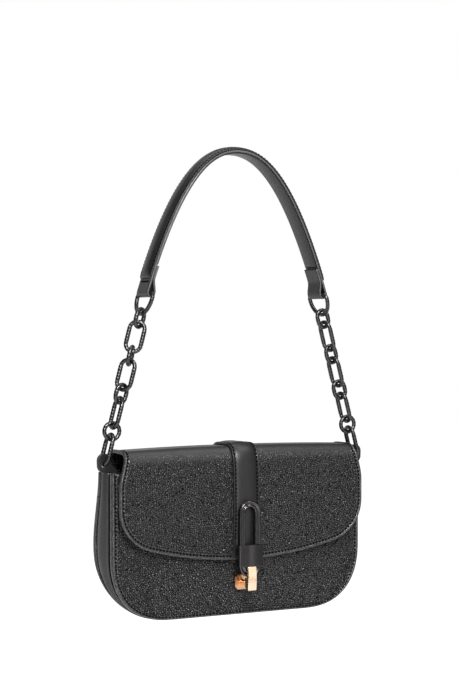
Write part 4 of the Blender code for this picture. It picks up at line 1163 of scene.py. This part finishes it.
def bandLine():
    # middle line of the band: right half of the arch, round the bar and back, then all of it mirrored
    archSteps, foldSteps, returnSteps = handle["archSteps"], handle["foldSteps"], handle["returnSteps"]
    points = [archPoint(shareAtLength(archLengths[-1] * i / archSteps)) for i in range(archSteps + 1)]
    for i in range(1, foldSteps):
        turn = math.pi * i / foldSteps
        outward = endNormal * math.cos(turn) + endDown * math.sin(turn)
        points.append(barRight + outward * handle["foldRadius"])
    closed = handle["band"] + handle["gap"]
    for i in range(returnSteps + 1):
        length = handle["returnLength"] * i / returnSteps
        share = shareAboveEnd(length) if i else 1.0
        ease = 1 - smoothStep(0.0, handle["returnTaper"], length)
        offset = closed + (2 * handle["foldRadius"] - closed) * ease
        points.append(archPoint(share) - archNormal(share) * offset)
    return [Vector((-p.x, p.y, p.z)) for p in points[:0:-1]] + points


def alongBand(section):
    # rings of a section of (across, height) that is led along the band
    line = bandLine()
    rings = []
    for i, place in enumerate(line):
        along = (line[min(i + 1, len(line) - 1)] - line[max(i - 1, 0)]).normalized()
        out = Vector((-along.z, 0, along.x))
        rings.append([place + out * v + Vector((0, y, 0)) for y, v in section])
    return rings


makePiece("handleBand", *tube(alongBand(handle["section"])), platedCalf, "handle", ("handle_band",))
for side, edgeY in (("Front", -handle["edgeY"]), ("Back", handle["edgeY"])):
    section = []
    for turn in around(handle["edgeSides"]):
        section.append((edgeY + handle["edgeThick"] * math.cos(turn), handle["edgeTall"] * math.sin(turn)))
    makePiece("handleEdge" + side, *tube(alongBand(section)), edgePaint, "handle")

coverLength = archLengths[-1] - handle["margin"]
coverSection = handle["cover"] + [(-y, v) for y, v in handle["cover"][-2::-1]] + handle["coverUnder"]
rings = []
for i in range(2 * handle["coverSteps"] + 1):
    length = coverLength * (i / handle["coverSteps"] - 1)
    near = coverLength - abs(length)
    pad = smoothStep(handle["padFrom"], handle["padTo"], near)
    end = handle["endShare"] + (1 - handle["endShare"]) * smoothStep(handle["endFrom"], handle["endTo"], near)
    ring = []
    for y, v in coverSection:
        height = min(v, handle["flatHeight"]) + max(0.0, v - handle["flatHeight"]) * pad
        ring.append(handlePoint(y, length, height * end))
    rings.append(ring)
piece = makePiece("handleCover", *tube(rings), platedCalf, "handle", ("handle_cover",))
for side, y in (("Front", -handle["stitchY"]), ("Back", handle["stitchY"])):
    path = np.array([(y, -coverLength + handle["stitchEnd"]), (y, coverLength - handle["stitchEnd"])])
    stitches("handleStitches" + side, path, 0.0, handlePoint, 1, "handle", lift=handle["stitchLift"])
for side, sign in (("Left", -1), ("Right", 1)):
    length = sign * (coverLength + handle["barBeyond"])
    path = np.array([(-handle["barY"], length), (handle["barY"], length)])
    stitches(
        "handleBar" + side, path, 0.0, handlePoint, 1, "handle", lift=handle["barLift"],
        pitch=handle["barPitch"], length=handle["barStitch"],
    )

rings = []
liningLength = archLengths[-1] - handle["returnLength"] - handle["liningShort"]
for i in range(2 * handle["liningSteps"] + 1):
    length = liningLength * (i / handle["liningSteps"] - 1)
    rings.append([handlePoint(y, length, v) for y, v in handle["lining"]])
makePiece("handleLining", *tube(rings), platedCalf, "handle", ("handle_lining",))
print("handle made")

# chains: rings and links of cast wire, shaped like rope laid from four strands

chain = dict(
    # the wire's radius, its swelling on straight sides, and the strands that it is laid from
    wire=1.9, swell=0.14, swellInset=0.5, strands=4, lay=10.8, groove=0.3, groovePower=0.7, sides=32,
    step=0.6, eyeX=127.5, ringHalf=14.6, ringCorner=4.6, ringDepth=19.0, clearance=0.4,
    # half width and length of each kind, to the middle of the wire
    small=(5.6, 15.7), long=(6.5, 26.6), round=(7.1, 14.2),
    # number, kind, and the turn about the chain in degrees, left and right
    links=((2, "small", 30, 4), (3, "long", -30, -80), (4, "small", 52, 10), (5, "long", -50, -80),
           (6, "small", 15, -4), (7, "long", -88, -86), (8, "round", 0, 0), (9, "long", 90, 90)),
)
eyeZ = jointZ("bag_swing")


def ringLine():
    # a straight bar in the handle's fold, small corners and a half ellipse below, as (x, down)
    half, corner, depth = chain["ringHalf"], chain["ringCorner"], chain["ringDepth"]
    right = [((half - corner) * i / 4, 0.0) for i in range(5)]
    for i in range(1, 9):
        turn = math.pi / 2 * i / 8
        right.append((half - corner + corner * math.sin(turn), corner - corner * math.cos(turn)))
    bow = []
    for i in range(1, 33):
        turn = math.pi * i / 32
        bow.append((half * math.cos(turn), corner + (depth - corner) * math.sin(turn)))
    return right + bow + [(-x, down) for x, down in right[-2:0:-1]]


def closedResample(points, step):
    loop = np.array(points + [points[0]], float)
    return resample(loop, step)[:-1]


def ropeLink(name, line, top, down, across, node, body, straight=None):
    # the wire swells only along the straight sides, so the ends keep room for the next link
    through = across.cross(down).normalized()
    line = closedResample(line, chain["step"])
    total = float(np.sum(np.linalg.norm(np.diff(np.vstack([line, line[:1]]), axis=0), axis=1)))
    turns = max(1, round(total / chain["lay"] * chain["strands"])) / chain["strands"]
    places = [top + across * x + down * d for x, d in line]
    count = len(places)
    rings = []
    for i, place in enumerate(places):
        along = (places[(i + 1) % count] - places[i - 1]).normalized()
        side = along.cross(through).normalized()
        roll = 2 * math.pi * turns * i / count
        swell = chain["swell"] if straight and straight[0] < line[i][1] < straight[1] else 0.0
        ring = []
        for turn in around(chain["sides"]):
            strand = abs(math.sin(chain["strands"] / 2 * (turn - roll)))
            radius = chain["wire"] + swell - chain["groove"] * (1 - strand ** chain["groovePower"])
            ring.append(place + (side * math.cos(turn) + through * math.sin(turn)) * radius)
        rings.append(ring)
    makePiece(name, *tube(rings, loop=True), blackZinc, body, (node,))


def seatDistance(between, first, second):
    # how far a link's top lies above the foot of the one before it, when their bends touch at this angle
    slant = abs(between) % 180
    slant = math.radians(min(slant, 180 - slant))
    apart = 2 * chain["wire"] + chain["clearance"]
    spread = 4 * math.sin(slant / 2) ** 2
    curl = 1 / (2 * first) + 1 / (2 * second)
    if spread / (2 * curl) >= apart:
        return apart
    return (apart**2 + (spread / (2 * curl)) ** 2) * curl / spread


def linksDown():
    # number, kind, turns and top of each link, from the ring down
    found = []
    foot = chain["ringDepth"]
    lastRadius = chain["ringHalf"] ** 2 / (chain["ringDepth"] - chain["ringCorner"])
    lastTurns = (90, 90)
    for number, kind, left, right in chain["links"]:
        radius, length = chain[kind]
        seat = max(seatDistance(a - b, lastRadius, radius) for a, b in zip(lastTurns, (left, right)))
        top = foot - seat
        found.append((number, kind, (left, right), top))
        foot = top + length
        lastRadius, lastTurns = radius, (left, right)
    return found


for side, sign in (("left", -1), ("right", 1)):
    bar = Vector((sign * barRight.x, 0.0, barRight.z))
    eye = Vector((sign * chain["eyeX"], 0.0, eyeZ))
    down = (eye - bar).normalized()
    level = Vector((-down.z * sign, 0.0, down.x * sign))
    depth = Vector((0.0, 1.0, 0.0))
    ropeLink(side + "Ring", ringLine(), bar, down, depth, "ring_" + side, "handle")
    for number, kind, turns, top in linksDown():
        turn = math.radians(turns[0 if side == "left" else 1])
        across = level * sign * math.cos(turn) + depth * math.sin(turn)
        radius, length = chain[kind]
        ends = radius + chain["swellInset"]
        ropeLink(
            "%sLink%d" % (side, number), loopLine(radius, length), bar + down * top, down, across,
            "link_%d_%s" % (number, side), "link_%d_pair" % number, (ends, length - ends),
        )
print("chains made")

# side tabs: thick leather with a rounded edge and an eye

tab = dict(
    halfThick=1.5, earRadius=6.2, earTop=9.8, earSteps=16, eyeRadius=2.4, eyeSteps=28,
    # the rest of the outline, from the ear's inner side down, round the stem and up to its outer side;
    # the neck is measured from the ear's inner side and the eye, stemTop's z from the eye, stemMiddle's
    # from halfway between the eye and the mouth, and the stem's z from the mouth
    neck=[(-0.2, 1.2), (-1.4, -0.8)],
    stemTop=(117.5, -2.4), stemMiddle=(114.6, -1.0),
    stem=[(113.9, -2.0), (113.9, -12.0), (119.5, -12.0), (119.7, -1.0), (120.1, 0.45), (121.4, 0.7),
          (127.5, 0.7), (130.2, 1.2), (132.4, 2.9), (133.5, 5.4)],
    sharp=40, edge=0.7, edgeSteps=4, edgeAngle=50,
)
mouthZ = bag["foot"] + bag["mouth"]


def tabOutline():
    radius = tab["earRadius"]
    outline = []
    for i in range(tab["earSteps"] + 1):
        turn = math.pi * i / tab["earSteps"]
        outline.append((
            chain["eyeX"] + radius * math.cos(turn), eyeZ + tab["earTop"] - radius + radius * math.sin(turn)
        ))
    outline += [(chain["eyeX"] - radius + x, eyeZ + z) for x, z in tab["neck"]]
    outline.append((tab["stemTop"][0], eyeZ + tab["stemTop"][1]))
    outline.append((tab["stemMiddle"][0], (eyeZ + mouthZ) / 2 + tab["stemMiddle"][1]))
    return outline + [(x, mouthZ + z) for x, z in tab["stem"]]


for side, sign in (("left", -1), ("right", 1)):
    radius = tab["eyeRadius"]
    turns = around(tab["eyeSteps"])
    eyeLine = [(chain["eyeX"] + radius * math.cos(turn), eyeZ + radius * math.sin(turn)) for turn in turns]
    work = bmesh.new()
    outer, hole = [
        [work.verts.new((sign * x * mm, -tab["halfThick"] * mm, z * mm)) for x, z in border]
        for border in (tabOutline(), eyeLine)
    ]
    edges = [work.edges.new((a, b)) for loop in (outer, hole) for a, b in zip(loop, loop[1:] + loop[:1])]
    bmesh.ops.triangle_fill(work, use_beauty=True, edges=edges, normal=(0, -1, 0))
    swept = bmesh.ops.extrude_face_region(work, geom=work.faces[:])
    for vert in [g for g in swept["geom"] if isinstance(g, bmesh.types.BMVert)]:
        vert.co.y = tab["halfThick"] * mm
    bmesh.ops.recalc_face_normals(work, faces=work.faces)
    mesh = bpy.data.meshes.new(side + "Tab")
    work.to_mesh(mesh)
    work.free()
    mesh.materials.append(platedCalf)
    mesh.shade_smooth()
    mesh.set_sharp_from_angle(angle=math.radians(tab["sharp"]))
    piece = bpy.data.objects.new(side + "Tab", mesh)
    bpy.context.collection.objects.link(piece)
    roundEdges(piece, tab["edge"], tab["edgeSteps"], tab["edgeAngle"])
    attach(piece, "bag")
    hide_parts("tab_" + side)
print("tabs made")

# room: pale floor, white surroundings, soft lamps and the camera

room = dict(
    # in metres; the camera stands about 1.6 m away, as the photo's perspective has it
    floorZ=-0.78, camera=(-0.7757, -1.3904, -0.1555), target=(0.0, 0.009, -0.1676), lens=93.9,
    lampAim=(0.0, 0.0, -0.25), glow=0.88,
    fibreScale=900.0,
    # Y, in metres, over which the floor turns white for mirrored rays, and the same for the world's direction
    floorBehind=(0.2, 2.0), worldBehind=(0.8, 0.98),
    # soft light of the world, from the room in front of the bag to the backdrop behind it
    softBehind=(0.7, 0.98), softLevel=(0.14, 0.95),
    # name, place, size, power
    lamps=(("keyLamp", (-0.5, -1.7, 0.9), (0.7, 0.7), 74.0),
           ("topLamp", (0.1, 0.2, 1.5), (1.6, 0.9), 15.0),
           ("panelLamp", (1.1, -1.9, 0.0), (0.4, 1.4), 3.0),
           ("stripLamp", (-0.9, -2.0, -0.1), (0.25, 1.5), 9.0),
           ("bendLamp", (0.35, -0.35, 0.5), (0.3, 0.3), 2.0)),
)


def seenRay(tree, behind):
    # 1 for the rays that see the white backdrop: straight, through a clear thing, or mirrored
    # mirrored rays meet it only behind the bag, where it stands
    path = addNode(tree, "ShaderNodeLightPath").outputs
    mirror = addNode(
        tree, "ShaderNodeMath", {0: path["Is Glossy Ray"], 1: behind}, operation="MULTIPLY"
    ).outputs[0]
    clear = addNode(
        tree, "ShaderNodeMath", {0: path["Is Camera Ray"], 1: path["Is Transmission Ray"]},
        operation="MAXIMUM",
    ).outputs[0]
    return addNode(tree, "ShaderNodeMath", {0: clear, 1: mirror}, operation="MAXIMUM").outputs[0]


def makeFloor():
    # matt paper sheet; it shows white to the camera and still takes the object's shadow
    made, tree, shader = newMaterial("paperFloor", 0.9)
    shader.inputs["Base Color"].default_value = fromHex("#f4f4f4")
    place = addNode(tree, "ShaderNodeTexCoord").outputs["Object"]
    fibre = addNode(
        tree, "ShaderNodeTexNoise", {"Vector": place, "Scale": room["fibreScale"], "Detail": 3.0}
    ).outputs["Fac"]
    bump = addNode(tree, "ShaderNodeBump", {"Height": fibre, "Strength": 0.1, "Distance": 0.1 * mm})
    tree.links.new(bump.outputs[0], shader.inputs["Normal"])
    glow = addNode(tree, "ShaderNodeEmission", {"Color": (1, 1, 1, 1), "Strength": room["glow"]})
    both = addNode(tree, "ShaderNodeAddShader", {0: shader.outputs[0], 1: glow.outputs[0]})
    depth = addNode(tree, "ShaderNodeSeparateXYZ", {0: place}).outputs["Y"]
    near, far = room["floorBehind"]
    behind = addNode(tree, "ShaderNodeMapRange", {"Value": depth, 1: near, 2: far, 3: 0.0, 4: 1.0}).outputs[0]
    seen = seenRay(tree, behind)
    mix = addNode(tree, "ShaderNodeMixShader", {0: seen, 1: shader.outputs[0], 2: both.outputs[0]})
    tree.links.new(mix.outputs[0], tree.nodes["Material Output"].inputs[0])
    return made


mesh = bpy.data.meshes.new("floor")
mesh.from_pydata([(-6, -6, 0), (6, -6, 0), (6, 12, 0), (-6, 12, 0)], [], [(0, 1, 2, 3)])
floor = bpy.data.objects.new("floor", mesh)
floor.location.z = room["floorZ"]
mesh.materials.append(makeFloor())
bpy.context.collection.objects.link(floor)

world = bpy.data.worlds.new("studio")
bpy.context.scene.world = world
world.use_nodes = True
tree = world.node_tree
tree.nodes.clear()
# reflections and soft light: a bright backdrop behind the bag, a darker room in front of it
place = addNode(tree, "ShaderNodeTexCoord").outputs["Generated"]
back = addNode(tree, "ShaderNodeSeparateXYZ", {0: place}).outputs["Y"]
(near, far), (dim, bright) = room["softBehind"], room["softLevel"]
level = addNode(tree, "ShaderNodeMapRange", {"Value": back, 1: near, 2: far, 3: dim, 4: bright}).outputs[0]
near, far = room["worldBehind"]
behind = addNode(tree, "ShaderNodeMapRange", {"Value": back, 1: near, 2: far, 3: 0.0, 4: 1.0}).outputs[0]
soft = addNode(tree, "ShaderNodeBackground", {"Color": (1, 1, 1, 1), "Strength": level})
white = addNode(tree, "ShaderNodeBackground", {"Color": (1, 1, 1, 1), "Strength": 1.0})
seen = seenRay(tree, behind)
mix = addNode(tree, "ShaderNodeMixShader", {0: seen, 1: soft.outputs[0], 2: white.outputs[0]})
addNode(tree, "ShaderNodeOutputWorld", {"Surface": mix.outputs[0]})

for name, place, size, power in room["lamps"]:
    lamp = bpy.data.lights.new(name, "AREA")
    lamp.shape = "RECTANGLE"
    lamp.size, lamp.size_y = size
    lamp.energy = power
    holder = bpy.data.objects.new(name, lamp)
    holder.location = place
    aim = Vector(room["lampAim"]) - Vector(place)
    holder.rotation_euler = aim.to_track_quat("-Z", "Y").to_euler()
    bpy.context.collection.objects.link(holder)

camera = bpy.data.cameras.new("camera")
camera.lens = room["lens"]
camera.sensor_width = 36.0
camera.clip_end = 30.0
viewer = bpy.data.objects.new("camera", camera)
viewer.location = room["camera"]
aim = Vector(room["target"]) - Vector(room["camera"])
viewer.rotation_euler = aim.to_track_quat("-Z", "Y").to_euler()
bpy.context.collection.objects.link(viewer)
bpy.context.scene.camera = viewer
bpy.context.scene.view_settings.view_transform = "Standard"
print("room made")
